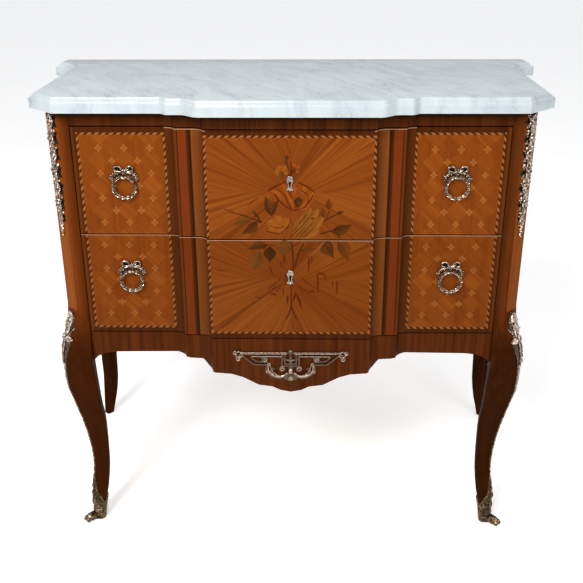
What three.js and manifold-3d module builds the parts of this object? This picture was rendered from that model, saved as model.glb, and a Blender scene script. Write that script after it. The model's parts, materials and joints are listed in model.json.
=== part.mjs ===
import * as THREE from 'three';
import { mergeVertices } from 'three/addons/utils/BufferGeometryUtils.js';
import Module from 'manifold-3d';

// Breakfront chest of two drawers on four curved legs, with a marble top and cast brass mounts.
// Millimetres, +Z up, front towards -Y, origin on the floor at the centre of the outline.

const wasm = await Module();
wasm.setup();

// Fits and shared values
const seam = 0.3;
const weld = 0.001;
const cutOverrun = 2;
const roundSteps = 6;

// Overall sizes
const overallHeight = 820;
const marbleWidth = 950;
const marbleDepth = 470;

// Front of the case in plan: flat sides, a mid strip and a flat centre, joined by hollow coves
const frontOverhang = 30;
const innerStepDepth = 15;
const outerStepDepth = 12;
const centreShare = 0.3887;
const innerCoveWidth = 19;
const midStripShare = 0.524;
const outerCoveWidth = 15;

// Sides and rear ears of the case in plan
const earOverhang = 36;
const earReach = 40;
const panelThickness = 21;
const stileWidth = 42.5;
const stileDepth = 58;
const stileCant = 24;
const earLength = 24;
const earCoveLength = 84;
const backOverhang = 7;

// Marble slab: plan, and its moulded edge as shares of the thickness and of the insets at the top
const marbleThickness = 25;
const marbleFrontInset = 4;
const marbleSideInset = 12.5;
const marbleEdgeShares = [[0, 0], [0.64, 0], [0.74, 0.35], [0.76, 0.6], [0.88, 0.68], [1, 1]];
const marbleSideOverhang = 34.5;
const marbleSideLean = 9;
const marbleInnerLead = 3;
const marbleOuterLead = 4;
const marbleOuterCurve = 14;
const marbleInnerCurve = 30;
const marbleInnerStep = 20;
const marbleOuterStep = 11;
const marbleCantWidth = 49.5;
const marbleCantDepth = 50;
const marbleEarLength = 47;
const marbleEarCove = 74;
const marbleCornerWidth = 4;
const marbleCornerLength = 24;

// Heights of the front
const drawerGap = 2;
const apronTop = 403;
const apronFlat = 365;
const apronDrop = 66.5;
const friezeHeight = 24;

// Boards of the front
const frontThickness = 20;
const friezeDepth = 60;
const apronThickness = 22;
const openingClearance = 1.5;

// Drawer boxes
const drawerSideThickness = 12;
const drawerBackThickness = 12;
const drawerBottomThickness = 8;
const drawerBottomLift = 6;
const drawerGroove = 5;
const drawerBackGap = 3.7;
const drawerTopGap = 4;
const drawerBackDrop = 8;
const tailCount = 5;
const tailLength = 14;
const tailFlare = 3;

// Rails, runners and boards inside
const railThickness = 18;
const railDepth = 57;
const runnerWidth = 47;
const runnerThickness = 7;
const guideHeight = 14;
const guideClearance = 1;
const bottomThickness = 12;
const backPanelThickness = 8;
const backPanelInset = 6;
const backRailThickness = 20;
const backRailHeight = 60;

// Front leg: shares of its height and of its sizes, from the floor to the stile
const legHeight = 450;
const kneeKick = 12;
const legInset = 7;
const footForward = 20;
const legCorner = 4;
const legLevels = 20;
const legKickShares = [[0, -1.08], [0.08, -1.2], [0.18, -1.35], [0.276, -1.62], [0.376, -1.32],
  [0.48, -0.71], [0.584, 0.17], [0.682, 0.83], [0.778, 0.92], [0.853, 0.62], [0.958, 0.05], [1, 0]];
const legInsetShares = [[0, -1.57], [0.07, -0.93], [0.17, 0.26], [0.264, 0.8], [0.364, 0.95],
  [0.47, 1], [0.575, 0.5], [0.664, 0.38], [0.735, 0.1], [0.765, 0], [1, 0]];
const legCantShares = [[0, 0.15], [0.4, 0.15], [0.67, 0.22], [0.8, 0.34], [0.9, 0.62], [1, 1]];
const legForwardShares = [[0, 1], [0.3, 0.55], [0.67, 0], [1, 0]];
const legDepthShares = [[0, 0], [0.67, 0], [0.78, 0.7], [0.89, 1], [1, 1]];
const legCornerShares = [[0, 1], [0.67, 1], [0.85, 0.15], [1, 0.15]];
const legHollowShares = [[0, 0.3], [0.12, 0.58], [0.78, 0.66], [0.84, 0.45], [0.89, 0.06], [1, 0.01]];

// Rear leg: shares of its height and of its sizes
const rearLegHeight = 366;
const rearLegFade = 80;
const rearLegWidth = 41;
const rearLegKick = 16;
const rearFootTuck = 5;
const rearLevels = 14;
const rearKickShares = [[0, 1], [0.08, 0.88], [0.19, 0.69], [0.3, 0.56], [0.41, 0.6], [0.8, 0.44], [1, 0]];
const rearWidthShares = [[0, 0.51], [0.08, 0.63], [0.19, 0.78], [0.3, 0.84], [0.41, 0.88], [0.8, 1], [1, 1]];
const rearArrisShare = 0.55;
const rearStartShare = 0.25;
const rearChamferShare = 0.14;

// Aprons: the lower edge as shares of the half width and of the drop
const apronEdgeShares = [[0, 1], [0.053, 0.945], [0.092, 0.84], [0.16, 0.79], [0.237, 0.565],
  [0.295, 0.465], [0.378, 0.43], [0.41, 0.3], [0.438, 0.12], [0.5, 0.1], [0.53, 0.06],
  [0.57, 0], [0.874, 0.02], [0.93, 0.06], [0.97, 0.14], [1, 0.28]];
const sideEdgeShares = [[0, 0.3], [0.03, 0.12], [0.08, 0.03], [0.28, 0], [0.36, 0.1], [0.5, 0.32],
  [0.64, 0.1], [0.72, 0], [1, 0]];

// Locks and key plates
const lockWidth = 64;
const lockHeight = 54;
const lockWall = 2.5;
const keyHeadRadius = 2.5;
const keySlotWidth = 2.6;
const keySlotDrop = 8;
const keyBelowLockTop = 27;
const keyholeSides = 12;
const boltWidth = 28;
const boltShankWidth = 13;
const boltFootHeight = 12;
const boltThickness = 5;
const boltClearance = 0.5;
const boltTopClearance = 1;
const mortiseDepth = 11;
const upperKeyShare = 0.5317;
const lowerKeyShare = 0.6414;
const keyPlateHeight = 24;
const keyPlateWidth = 11;
const keyPlateThickness = 1.6;
const keyPlateShares = [[0, 1], [0.55, 0.92], [0.95, 0.62], [0.98, 0.3], [0.6, -0.05], [0.5, -0.4],
  [0.72, -0.72], [1, -0.92], [0.6, -1], [0, -1]];

// Ring pulls
const pullShare = 0.769;
const upperRingShare = 0.4542;
const lowerRingShare = 0.5474;
const ringRadius = 18.8;
const ringTube = 2.3;
const leafSwell = 0.7;
const leafCount = 14;
const leafFreeShare = 0.12;
const ringSteps = 28;
const ringSides = 7;
const ringStandoff = 7.5;
const eyeClearance = 0.5;
const eyeWidth = 4;
const eyeWall = 1.8;
const eyeSides = 12;
const bowThickness = 2.6;
const bowRise = 11;
const bowLoopWidth = 17;
const bowLoopHeight = 12;
const bowLoopTilt = 0.35;
const bowRibbon = 3.4;
const bowSpreadShare = 0.56;
const knotRadius = 4.6;
const tailDrop = 27;
const tailReach = 22;
const bowTailShares = [[0.1, 0], [0.45, -0.02], [0.75, -0.2], [0.96, -0.5], [1.02, -0.78], [0.93, -1]];

// Apron mount, as shares of its half width and of its height below the top
const apronMountShare = 0.7175;
const apronMountTop = 382;
const apronMountHeight = 61;
const apronMountThickness = 3;
const apronBar = 2.8;
const apronUpperBarShares = [[0.07, -0.075], [0.88, -0.075]];
const apronSecondBarShares = [[0.13, -0.18], [0.7, -0.18]];
const apronFrameShares = [[0.165, 0.51], [0.115, 0.44]];
const apronDiagonalShares = [[0.86, -0.14], [0.8, -0.24], [0.66, -0.43], [0.6, -0.45], [0.38, -0.45]];
const apronInnerLineShares = [[0.7, -0.2], [0.62, -0.33], [0.4, -0.37]];
const apronSwagShares = [[0.39, -0.45], [0.43, -0.62], [0.35, -0.78], [0.22, -0.87], [0.1, -0.8],
  [0.04, -0.72]];
const apronLeafShares = [[0.24, -0.86], [0.34, -0.66], [0.3, -0.55]];
const apronTipShares = [[0, -1], [0.045, -0.93], [0.1, -0.95], [0.13, -0.87], [0.09, -0.8], [0, -0.78]];
const apronRosetteShares = [0.46, -0.27];
const apronEndShares = [0.92, -0.13];
const apronCurlShares = [0.15, -0.58];
const rosetteRadius = 6;
const endCurlRadius = 7.5;
const curlRadius = 5.2;
const collarRadius = 4.2;
const collarPlaceShare = -0.565;
const budRadius = 4.5;
const budStretch = 1.5;
const budPlaceShare = -0.66;
const smallSides = 8;
const smallRings = 5;

// Garlands on the canted corners
const garlandTopDrop = 8.7;
const garlandShare = 0.58;
const garlandCount = 11;
const blossomRadius = 7.2;
const blossomTipRadius = 3.2;
const blossomDepthShare = 0.75;
const garlandSway = 2.2;
const garlandStem = 3;
const leafLength = 11;
const leafWidth = 5;
const leafLean = 0.9;
const blossomSides = 6;
const blossomRings = 4;

// Mounts that lie over the front leg: knee mount, edge strip and foot mount
const kneeTop = 441;
const kneeBottom = 346;
const kneeHalfWidth = 12;
const kneeThickness = 3;
const kneeOutlineShares = [[0, 0.35], [0.2, 0.62], [0.4, 0.85], [0.55, 0.7], [0.75, 1], [0.9, 0.7], [1, 0.3]];
const cabochonWidth = 9;
const cabochonHeight = 20;
const cabochonShare = 0.62;
const voluteRadius = 4.2;
const voluteTube = 1.7;
const voluteShares = [0.3, 0.86];
const edgeHalfWidth = 2.4;
const edgeThickness = 1.4;
const edgeOutlineShares = [[0, 0.8], [0.7, 0.8], [0.85, 1.2], [1, 1.3]];
const footMountTop = 98;
const footCupHeight = 27;
const footMountThickness = 2;
const footHalfWidth = 20;
const footOutlineShares = [[0, 1], [0.28, 1], [0.4, 0.68], [0.52, 0.5], [0.6, 0.28], [0.85, 0.18], [1, 0.08]];
const toeLength = 26;
const toeWidth = 11;
const toeHeight = 17;
const toeSetShare = 0.25;
const toeReachShare = 0.3;
const castLevels = 10;

// Levels and planes worked out from the sizes above
const caseTop = overallHeight - marbleThickness - seam;
const centreFront = -marbleDepth / 2 + frontOverhang;
const midFront = centreFront + innerStepDepth;
const sideFront = midFront + outerStepDepth;
const caseBack = marbleDepth / 2 - backOverhang;
const earHalfWidth = marbleWidth / 2 - earOverhang;
const caseHalfWidth = earHalfWidth - earReach;
const innerHalfWidth = caseHalfWidth - panelThickness;
const stileInner = caseHalfWidth - stileWidth;
const frontHalfWidth = stileInner - openingClearance;
const centreHalfWidth = centreShare * frontHalfWidth;
const midStripOuter = midStripShare * frontHalfWidth;
const pullX = pullShare * frontHalfWidth;
const apronMountHalfWidth = apronMountShare * centreHalfWidth;
const stileBack = sideFront + stileDepth;
const earCoveFront = caseBack - earLength - earCoveLength;
const frontBack = sideFront + frontThickness;
const friezeBottom = caseTop - friezeHeight;
const friezeBack = sideFront + friezeDepth;
const drawerHeight = (friezeBottom - apronTop - 3 * drawerGap) / 2;
const lowerBottom = apronTop + drawerGap;
const lowerTop = lowerBottom + drawerHeight;
const upperBottom = lowerTop + drawerGap;
const upperTop = upperBottom + drawerHeight;
const railTop = upperBottom - seam;
const railBottom = railTop - railThickness;
const railFront = frontBack + seam;
const railBack = railFront + railDepth;
const runnerTop = lowerBottom - seam;
const boardTop = runnerTop - runnerThickness - seam;
const backPanelFront = caseBack - backPanelInset - backPanelThickness;
const backRailFront = backPanelFront - seam - backRailThickness;
const drawerBack = backRailFront - drawerBackGap;
const lockThickness = boltThickness + 2 * (boltClearance + lockWall);
const garlandTop = caseTop - garlandTopDrop;
const garlandLength = garlandShare * (garlandTop - kneeTop);

const finishes = {
  marble: { color: 0xd9dde0, roughness: 0.3, metalness: 0 },
  kingwood: { color: 0x6a3315, roughness: 0.35, metalness: 0 },
  parquetry: { color: 0x9a4c1b, roughness: 0.35, metalness: 0 },
  mahogany: { color: 0x4b2412, roughness: 0.4, metalness: 0 },
  oak: { color: 0xa87c4c, roughness: 0.75, metalness: 0 },
  brass: { color: 0x9a8064, roughness: 0.4, metalness: 1 },
  keyBrass: { color: 0xd8c9a4, roughness: 0.25, metalness: 1 },
  steel: { color: 0x77736c, roughness: 0.5, metalness: 1 },
};

const flat = (x, y) => new THREE.Vector2(x, y);

// A list of values for equal steps from 0 to 1
function steps(count, make) {
  return Array.from({ length: count + 1 }, (_, i) => make(i / count));
}

// A smooth curve through rows of [place, value], both shares, that never runs past its rows
function follow(rows, share) {
  const last = rows.length - 1;
  const next = rows.findIndex(([at]) => at > share);
  const i = Math.max((next < 0 ? last : next) - 1, 0);
  const rise = (k) => (rows[k + 1][1] - rows[k][1]) / (rows[k + 1][0] - rows[k][0]);
  const slope = (k) => {
    const turns = k === 0 || k === last || rise(k - 1) * rise(k) <= 0;
    return turns ? 0 : 2 * rise(k - 1) * rise(k) / (rise(k - 1) + rise(k));
  };
  const width = rows[i + 1][0] - rows[i][0];
  const t = Math.min(Math.max((share - rows[i][0]) / width, 0), 1);
  const ease = t * t * (3 - 2 * t);
  const leave = t * (1 - t) * (1 - t);
  const arrive = t * t * (t - 1);
  const level = rows[i][1] + (rows[i + 1][1] - rows[i][1]) * ease;
  return level + width * (leave * slope(i) + arrive * slope(i + 1));
}

// Geometry with its shared corners joined
function welded(geometry) {
  const bare = geometry.clone();
  bare.deleteAttribute('normal');
  bare.deleteAttribute('uv');
  return mergeVertices(bare, weld);
}

function mirrored(geometry) {
  const twin = welded(geometry);
  twin.scale(-1, 1, 1);
  const order = twin.index.array;
  for (let i = 0; i < order.length; i += 3) [order[i + 1], order[i + 2]] = [order[i + 2], order[i + 1]];
  return twin;
}

function toSolid(geometry) {
  const { index, attributes } = welded(geometry);
  const triVerts = [];
  for (let i = 0; i < index.count; i += 3) {
    const [a, b, c] = [index.getX(i), index.getX(i + 1), index.getX(i + 2)];
    if (a !== b && b !== c && c !== a) triVerts.push(a, b, c);
  }
  return new wasm.Manifold(new wasm.Mesh({
    numProp: 3,
    vertProperties: new Float32Array(attributes.position.array),
    triVerts: new Uint32Array(triVerts),
  }));
}

function toGeometry(solid) {
  const { vertProperties, triVerts } = solid.getMesh();
  const geometry = new THREE.BufferGeometry();
  geometry.setAttribute('position', new THREE.BufferAttribute(vertProperties, 3));
  geometry.setIndex(new THREE.BufferAttribute(triVerts, 1));
  return geometry;
}

function join(geometries) {
  return geometries.map(toSolid).reduce((sum, piece) => sum.add(piece));
}

// A board between two corners
function board(low, high) {
  const size = high.map((value, axis) => value - low[axis]);
  const geometry = new THREE.BoxGeometry(...size);
  geometry.translate(...low.map((value, axis) => value + size[axis] / 2));
  return geometry;
}

// A plan outline raised from one level to another
function raised(outline, bottom, top) {
  const options = { depth: top - bottom, bevelEnabled: false };
  const geometry = new THREE.ExtrudeGeometry(new THREE.Shape(outline), options);
  geometry.translate(0, 0, bottom);
  return geometry;
}

// An outline in X and Z, thickened backwards from the plane y
function plate(shape, y, thickness) {
  const options = { depth: thickness, bevelEnabled: false, curveSegments: roundSteps };
  const geometry = new THREE.ExtrudeGeometry(shape, options);
  geometry.rotateX(Math.PI / 2);
  geometry.translate(0, y + thickness, 0);
  return geometry;
}

// An outline in Y and Z, thickened outwards from the plane x
function sidePlate(outline, x, thickness) {
  const options = { depth: thickness, bevelEnabled: false };
  const geometry = new THREE.ExtrudeGeometry(new THREE.Shape(outline), options);
  geometry.rotateX(Math.PI / 2);
  geometry.rotateZ(Math.PI / 2);
  geometry.translate(x, 0, 0);
  return geometry;
}

// A skin over level rings of equal counts, closed at both ends
function loft(levels) {
  const count = levels[0].ring.length;
  const positions = levels.flatMap(({ ring, height }) => ring.flatMap((point) => [point.x, point.y, height]));
  const index = [];
  for (let level = 0; level + 1 < levels.length; level++) {
    for (let i = 0; i < count; i++) {
      const a = level * count + i;
      const b = level * count + (i + 1) % count;
      index.push(a, b, b + count, a, b + count, a + count);
    }
  }
  const lid = (level, flip) => {
    for (const [a, b, c] of THREE.ShapeUtils.triangulateShape(levels[level].ring, [])) {
      index.push(...(flip ? [a, c, b] : [a, b, c]).map((corner) => corner + level * count));
    }
  };
  lid(0, true);
  lid(levels.length - 1, false);
  const geometry = new THREE.BufferGeometry();
  geometry.setAttribute('position', new THREE.Float32BufferAttribute(positions, 3));
  geometry.setIndex(index);
  return geometry;
}

// A plan ring moved outwards by a distance, square to its edges
function grown(ring, distance) {
  const outward = (from, to) => flat(to.y - from.y, from.x - to.x).normalize();
  return ring.map((point, i) => {
    const a = outward(ring.at(i - 1), point);
    const b = outward(point, ring[(i + 1) % ring.length]);
    return point.clone().addScaledVector(a.clone().add(b), distance / (1 + a.dot(b)));
  });
}

const acrossCentre = (points) => points.map((point) => flat(-point.x, point.y)).reverse();

const parts = new THREE.Group();

function place(name, finish, shape, parent = parts) {
  const source = shape.getMesh ? toGeometry(shape) : shape;
  const geometry = source.index ? source.toNonIndexed() : source;
  geometry.computeVertexNormals();
  const mesh = new THREE.Mesh(geometry, new THREE.MeshStandardMaterial(finishes[finish]));
  mesh.name = name;
  parent.add(mesh);
  return mesh;
}

// The shape of the right side, and its mirror image on the left
function placePair(nameFor, finish, shape) {
  const right = shape.getMesh ? toGeometry(shape) : shape;
  place(nameFor('left'), finish, mirrored(right));
  place(nameFor('right'), finish, right);
}

// Front line of the case from left to right
function frontLine(halfWidth) {
  const cove = (x, width, y, depth) => steps(roundSteps, (t) => flat(
    x + width * Math.sin(t * Math.PI / 2), y - depth * (1 - Math.cos(t * Math.PI / 2)),
  ));
  const left = [
    flat(-halfWidth, sideFront),
    ...cove(-midStripOuter - outerCoveWidth, outerCoveWidth, sideFront, outerStepDepth),
    ...cove(-centreHalfWidth - innerCoveWidth, innerCoveWidth, midFront, innerStepDepth),
  ];
  return [...left, ...acrossCentre(left)];
}

function frontBoard(halfWidth, back, bottom, top) {
  return raised([...frontLine(halfWidth), flat(halfWidth, back), flat(-halfWidth, back)], bottom, top);
}

// Marble slab: stepped front with eased curves, canted corners and ears that flare in a cove.
// The step runs from 0 at the outermost line to 1 at the edge of the top face.
function marblePlan(step) {
  const [frontInset, sideInset] = [marbleFrontInset * step, marbleSideInset * step];
  const front = frontInset - marbleDepth / 2;
  const back = marbleDepth / 2;
  const side = caseHalfWidth + marbleSideOverhang - sideInset;
  const ear = marbleWidth / 2 - sideInset;
  const cantOuter = caseHalfWidth + marbleSideOverhang - marbleSideLean;
  const flatFront = front + marbleInnerStep + marbleOuterStep;
  const eased = (x, width, y, depth) => steps(roundSteps, (t) => flat(
    x + width * t, y + depth * (1 - Math.cos(t * Math.PI)) / 2,
  ));
  const coveStart = back - marbleEarLength - marbleEarCove;
  const curveEnd = midStripOuter + outerCoveWidth + marbleOuterLead;
  const right = [
    ...eased(centreHalfWidth + marbleInnerLead, marbleInnerCurve, front, marbleInnerStep),
    ...eased(curveEnd - marbleOuterCurve, marbleOuterCurve, front + marbleInnerStep, marbleOuterStep),
    flat(cantOuter - marbleCantWidth - frontInset * Math.tan(Math.PI / 8), flatFront),
    flat(cantOuter - sideInset, flatFront + marbleCantDepth - sideInset + frontInset * (Math.SQRT2 - 1)),
    ...steps(roundSteps, (t) => flat(
      side + (ear - side) * (1 - Math.cos(t * Math.PI / 2)),
      coveStart + marbleEarCove * Math.sin(t * Math.PI / 2),
    )),
    ...steps(roundSteps / 2, (t) => flat(
      ear - marbleCornerWidth * (1 - Math.cos(t * Math.PI / 2)),
      back - marbleCornerLength * (1 - Math.sin(t * Math.PI / 2)),
    )),
  ];
  return [...acrossCentre(right), ...right];
}

function makeMarble() {
  const bottom = overallHeight - marbleThickness;
  const levels = marbleEdgeShares.map(([rise, step]) => ({
    height: bottom + marbleThickness * rise, ring: marblePlan(step),
  }));
  place('marble_top', 'marble', loft(levels));
}

// Right front stile and leg at one height: a square section with the outer corner canted
function legSection(height) {
  const share = Math.min(height / legHeight, 1);
  const kick = kneeKick * follow(legKickShares, share);
  const outer = caseHalfWidth + kick;
  const inner = stileInner - legInset * follow(legInsetShares, share);
  const front = sideFront - kick - footForward * follow(legForwardShares, share);
  const back = front + outer - inner + (stileDepth - stileWidth) * follow(legDepthShares, share);
  const cant = stileCant * follow(legCantShares, share);
  const corner = legCorner * follow(legCornerShares, share);
  const hollow = (back - front) * follow(legHollowShares, share);
  return { outer, inner, front, back, cant, corner, hollow };
}

function legRing(height) {
  const { outer, inner, front, back, cant, corner, hollow } = legSection(height);
  return [
    flat(inner, front + corner), flat(inner + corner, front),
    flat(outer - cant, front), flat(outer, front + cant),
    flat(outer, back - corner), flat(outer - corner, back),
    flat(inner + hollow, back), flat(inner, back - hollow),
  ];
}

// The leg and stile, grown by a distance, and drawn on below the floor where it serves as a cutter
function legBody(growth, below = 0) {
  const heights = [...steps(legLevels, (t) => legHeight * t), caseTop];
  if (below > 0) heights.unshift(-below);
  return loft(heights.map((height) => ({ height, ring: grown(legRing(height), growth) })));
}

// A skin of even thickness round the leg, a seam away from it
function legSkin(thickness) {
  return toSolid(legBody(seam + thickness, cutOverrun)).subtract(toSolid(legBody(seam, 2 * cutOverrun)));
}

// Right rear post, coved in plan, that fades into a slim leg with a ridge towards the front
function postRing() {
  return [
    flat(innerHalfWidth, earCoveFront),
    ...steps(roundSteps, (t) => flat(
      caseHalfWidth + (earHalfWidth - caseHalfWidth) * (1 - Math.cos(t * Math.PI / 2)),
      earCoveFront + earCoveLength * Math.sin(t * Math.PI / 2),
    )),
    flat(earHalfWidth, caseBack),
    flat(innerHalfWidth, caseBack),
  ];
}

function rearLegRing(share) {
  const outer = earHalfWidth + rearLegKick * follow(rearKickShares, share);
  const width = rearLegWidth * follow(rearWidthShares, share);
  const back = caseBack - rearFootTuck * (1 - share);
  const chamfer = width * rearChamferShare;
  const west = flat(outer - width, back - width / 2);
  const ridge = flat(outer - width * (1 - rearArrisShare), back - width);
  const east = flat(outer, back - width / 2);
  return [
    west,
    ...steps(roundSteps, (t) => (t < 1 / 2
      ? west.clone().lerp(ridge, rearStartShare + (1 - rearStartShare) * 2 * t)
      : ridge.clone().lerp(east, 2 * t - 1))),
    flat(outer - chamfer, back),
    flat(outer - width + chamfer, back),
  ];
}

function rearPost() {
  const levels = steps(rearLevels, (share) => {
    const height = rearLegHeight * share;
    const rise = Math.max((height - rearLegHeight + rearLegFade) / rearLegFade, 0);
    const blend = rise * rise * (3 - 2 * rise);
    const post = postRing();
    return { height, ring: rearLegRing(share).map((point, i) => point.lerp(post[i], blend)) };
  });
  return loft([...levels, { height: caseTop, ring: postRing() }]);
}

function makeCase() {
  placePair((side) => `front_${side}_leg`, 'mahogany', legBody(0));
  placePair((side) => `rear_${side}_leg`, 'mahogany', rearPost());
  const [panelFront, panelBack] = [stileBack + seam, earCoveFront - seam];
  placePair((side) => `${side}_side_panel`, 'parquetry', board(
    [innerHalfWidth, panelFront, apronTop + seam], [caseHalfWidth, panelBack, caseTop],
  ));
  const sideEdge = sideEdgeShares.map(([along, drop]) => flat(
    panelFront + (panelBack - panelFront) * along, apronFlat - drop * apronDrop,
  ));
  placePair((side) => `${side}_side_apron`, 'mahogany', sidePlate(
    [...sideEdge, flat(panelBack, apronTop), flat(panelFront, apronTop)], innerHalfWidth, panelThickness,
  ));
  place('back_panel', 'oak', board(
    [-innerHalfWidth + seam, backPanelFront, apronFlat],
    [innerHalfWidth - seam, backPanelFront + backPanelThickness, caseTop],
  ));
}

// Waved lower edge of the front apron, cut from a board with the front line
function makeApron() {
  const reach = stileInner - seam;
  const back = sideFront + apronThickness;
  const half = apronEdgeShares.map(([x, drop]) => flat(x * reach, apronFlat - drop * apronDrop));
  const face = new THREE.Shape([
    ...acrossCentre(half).slice(0, -1), ...half,
    flat(reach, apronTop + cutOverrun), flat(-reach, apronTop + cutOverrun),
  ]);
  const slab = plate(face, centreFront - cutOverrun, back - centreFront + 2 * cutOverrun);
  const blank = frontBoard(reach, back, apronFlat - apronDrop - cutOverrun, apronTop);
  place('front_apron', 'mahogany', toSolid(blank).intersect(toSolid(slab)));
}

// Hole above a bolt, in the rail that the lock shoots into
function mortise(level) {
  const near = railFront + lockWall;
  return board(
    [-boltShankWidth / 2 - boltClearance, near, level - cutOverrun],
    [boltShankWidth / 2 + boltClearance, near + boltThickness + 2 * boltClearance, level + mortiseDepth],
  );
}

function makeRails() {
  const frieze = frontBoard(stileInner - seam, friezeBack, friezeBottom, caseTop);
  place('top_front_rail', 'kingwood', toSolid(frieze).subtract(toSolid(mortise(friezeBottom))));
  const middle = board([-stileInner + seam, railFront, railBottom], [stileInner - seam, railBack, railTop]);
  place('middle_front_rail', 'oak', toSolid(middle).subtract(toSolid(mortise(railBottom))));
  const backRail = (bottom, top) => board(
    [-innerHalfWidth + seam, backRailFront, bottom],
    [innerHalfWidth - seam, backRailFront + backRailThickness, top],
  );
  place('top_back_rail', 'oak', backRail(caseTop - backRailHeight, caseTop));
  place('middle_back_rail', 'oak', backRail(railBottom, railTop));
  place('bottom_back_rail', 'oak', backRail(apronFlat, apronTop));
}

// Bottom board, notched round the front stiles
function makeBottom() {
  const blank = toSolid(board(
    [-innerHalfWidth + seam, sideFront + apronThickness + seam, boardTop - bottomThickness],
    [innerHalfWidth - seam, backRailFront - seam, boardTop],
  ));
  const notch = board(
    [stileInner - seam, sideFront, boardTop - bottomThickness - cutOverrun],
    [caseHalfWidth, stileBack + seam, boardTop + cutOverrun],
  );
  place('bottom_board', 'oak', blank.subtract(toSolid(notch)).subtract(toSolid(mirrored(notch))));
}

// Runners with a guide on the outer side, and kickers that keep the upper drawer from tipping
function makeRunners() {
  const inner = frontHalfWidth - runnerWidth;
  const outer = innerHalfWidth - seam;
  const guideInner = frontHalfWidth + guideClearance;
  const end = backRailFront - seam;
  const runner = (start, bottom, top) => sectionAlongY([
    flat(inner, bottom), flat(outer, bottom), flat(outer, top + guideHeight),
    flat(guideInner, top + guideHeight), flat(guideInner, top), flat(inner, top),
  ], start, end);
  placePair((side) => `upper_${side}_runner`, 'oak', runner(railBack + seam, railBottom, railTop));
  placePair((side) => `lower_${side}_runner`, 'oak', runner(stileBack + seam, boardTop + seam, runnerTop));
  placePair((side) => `${side}_kicker`, 'oak', board(
    [inner, friezeBack + seam, friezeBottom], [outer, end, friezeBottom + railThickness],
  ));
}

// A section in X and Z drawn out from one plane to another
function sectionAlongY(section, start, end) {
  return plate(new THREE.Shape(section), start, end - start);
}

// Keyhole along Y: a round head with a slot below
function keyhole(height) {
  const head = new THREE.CylinderGeometry(keyHeadRadius, keyHeadRadius, marbleDepth, keyholeSides);
  head.translate(0, 0, height);
  const slot = board(
    [-keySlotWidth / 2, -marbleDepth / 2, height - keySlotDrop], [keySlotWidth / 2, marbleDepth / 2, height],
  );
  return join([head, slot]);
}

// Dovetails on the right side of a drawer, or with a clearance the sockets that take them
function dovetails(bottom, top, clearance) {
  const pitch = (top - bottom) / tailCount;
  const inner = frontHalfWidth - drawerSideThickness - clearance;
  const outer = frontHalfWidth + (clearance > 0 ? cutOverrun : 0);
  return Array.from({ length: tailCount }, (_, i) => {
    const middle = bottom + pitch * (i + 1 / 2);
    const root = pitch / 4 + clearance;
    const tip = root + tailFlare;
    const [tipY, rootY] = [frontBack - tailLength - clearance, frontBack + cutOverrun];
    return sidePlate([
      flat(tipY, middle - tip), flat(rootY, middle - root),
      flat(rootY, middle + root), flat(tipY, middle + tip),
    ], inner, outer - inner);
  });
}

function makeDrawer({ name, bottom, top, sideTop, keyShare, ringShare, strikeLevel }) {
  const keyHeight = bottom + keyShare * drawerHeight;
  const ringHeight = bottom + ringShare * drawerHeight;
  const inner = frontHalfWidth - drawerSideThickness;
  const panelBottom = bottom + drawerBottomLift;
  const panelTop = panelBottom + drawerBottomThickness;
  const groove = toSolid(board(
    [-inner - drawerGroove - seam, frontBack - drawerGroove - seam, panelBottom - seam],
    [inner + drawerGroove + seam, drawerBack + cutOverrun, panelTop + seam],
  ));
  const sockets = dovetails(bottom, sideTop, seam);
  const front = toSolid(frontBoard(frontHalfWidth, frontBack, bottom, top))
    .subtract(join([...sockets, ...sockets.map(mirrored)])).subtract(groove).subtract(keyhole(keyHeight));
  place(`${name}_drawer_front`, 'parquetry', front);
  const blank = board([inner, frontBack + seam, bottom], [frontHalfWidth, drawerBack, sideTop]);
  const side = join([blank, ...dovetails(bottom, sideTop, 0)]).subtract(groove);
  placePair((hand) => `${name}_drawer_${hand}_side`, 'oak', side);
  place(`${name}_drawer_back`, 'oak', board(
    [-inner + seam, drawerBack - drawerBackThickness, panelTop + seam],
    [inner - seam, drawerBack, sideTop - drawerBackDrop],
  ));
  place(`${name}_drawer_bottom`, 'oak', board(
    [-inner - drawerGroove, frontBack - drawerGroove, panelBottom],
    [inner + drawerGroove, drawerBack, panelTop],
  ));
  makeLock(name, keyHeight, strikeLevel);
  makeKeyPlate(name, keyHeight);
  makePull(name, 'left', -pullX, ringHeight);
  makePull(name, 'right', pullX, ringHeight);
}

// Lock case on the inside of the front: hollow, with a keyway and a slot for the bolt
function makeLock(name, keyHeight, strikeLevel) {
  const top = keyHeight + keyBelowLockTop;
  const bottom = top - lockHeight;
  const near = frontBack + seam;
  const roomNear = near + lockWall;
  const boltNear = roomNear + boltClearance;
  const boltBack = boltNear + boltThickness;
  const footBottom = keyHeight + keyHeadRadius + boltClearance;
  const shell = toSolid(board([-lockWidth / 2, near, bottom], [lockWidth / 2, near + lockThickness, top]));
  const room = board(
    [-lockWidth / 2 + lockWall, roomNear, bottom + lockWall],
    [lockWidth / 2 - lockWall, boltBack + boltClearance, top - lockWall],
  );
  const slot = board(
    [-boltShankWidth / 2 - boltClearance, roomNear, keyHeight],
    [boltShankWidth / 2 + boltClearance, boltBack + boltClearance, top + cutOverrun],
  );
  const wall = board([-lockWidth, frontBack, bottom], [lockWidth, boltNear, top]);
  const keyway = keyhole(keyHeight).intersect(toSolid(wall));
  place(`${name}_lock_case`, 'steel', shell.subtract(join([room, slot])).subtract(keyway));
  const [foot, shank] = [boltWidth / 2, boltShankWidth / 2];
  place(`${name}_lock_bolt`, 'steel', join([
    board([-foot, boltNear, footBottom], [foot, boltBack, footBottom + boltFootHeight]),
    board([-shank, boltNear, footBottom], [shank, boltBack, strikeLevel - boltTopClearance]),
  ]));
}

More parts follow.
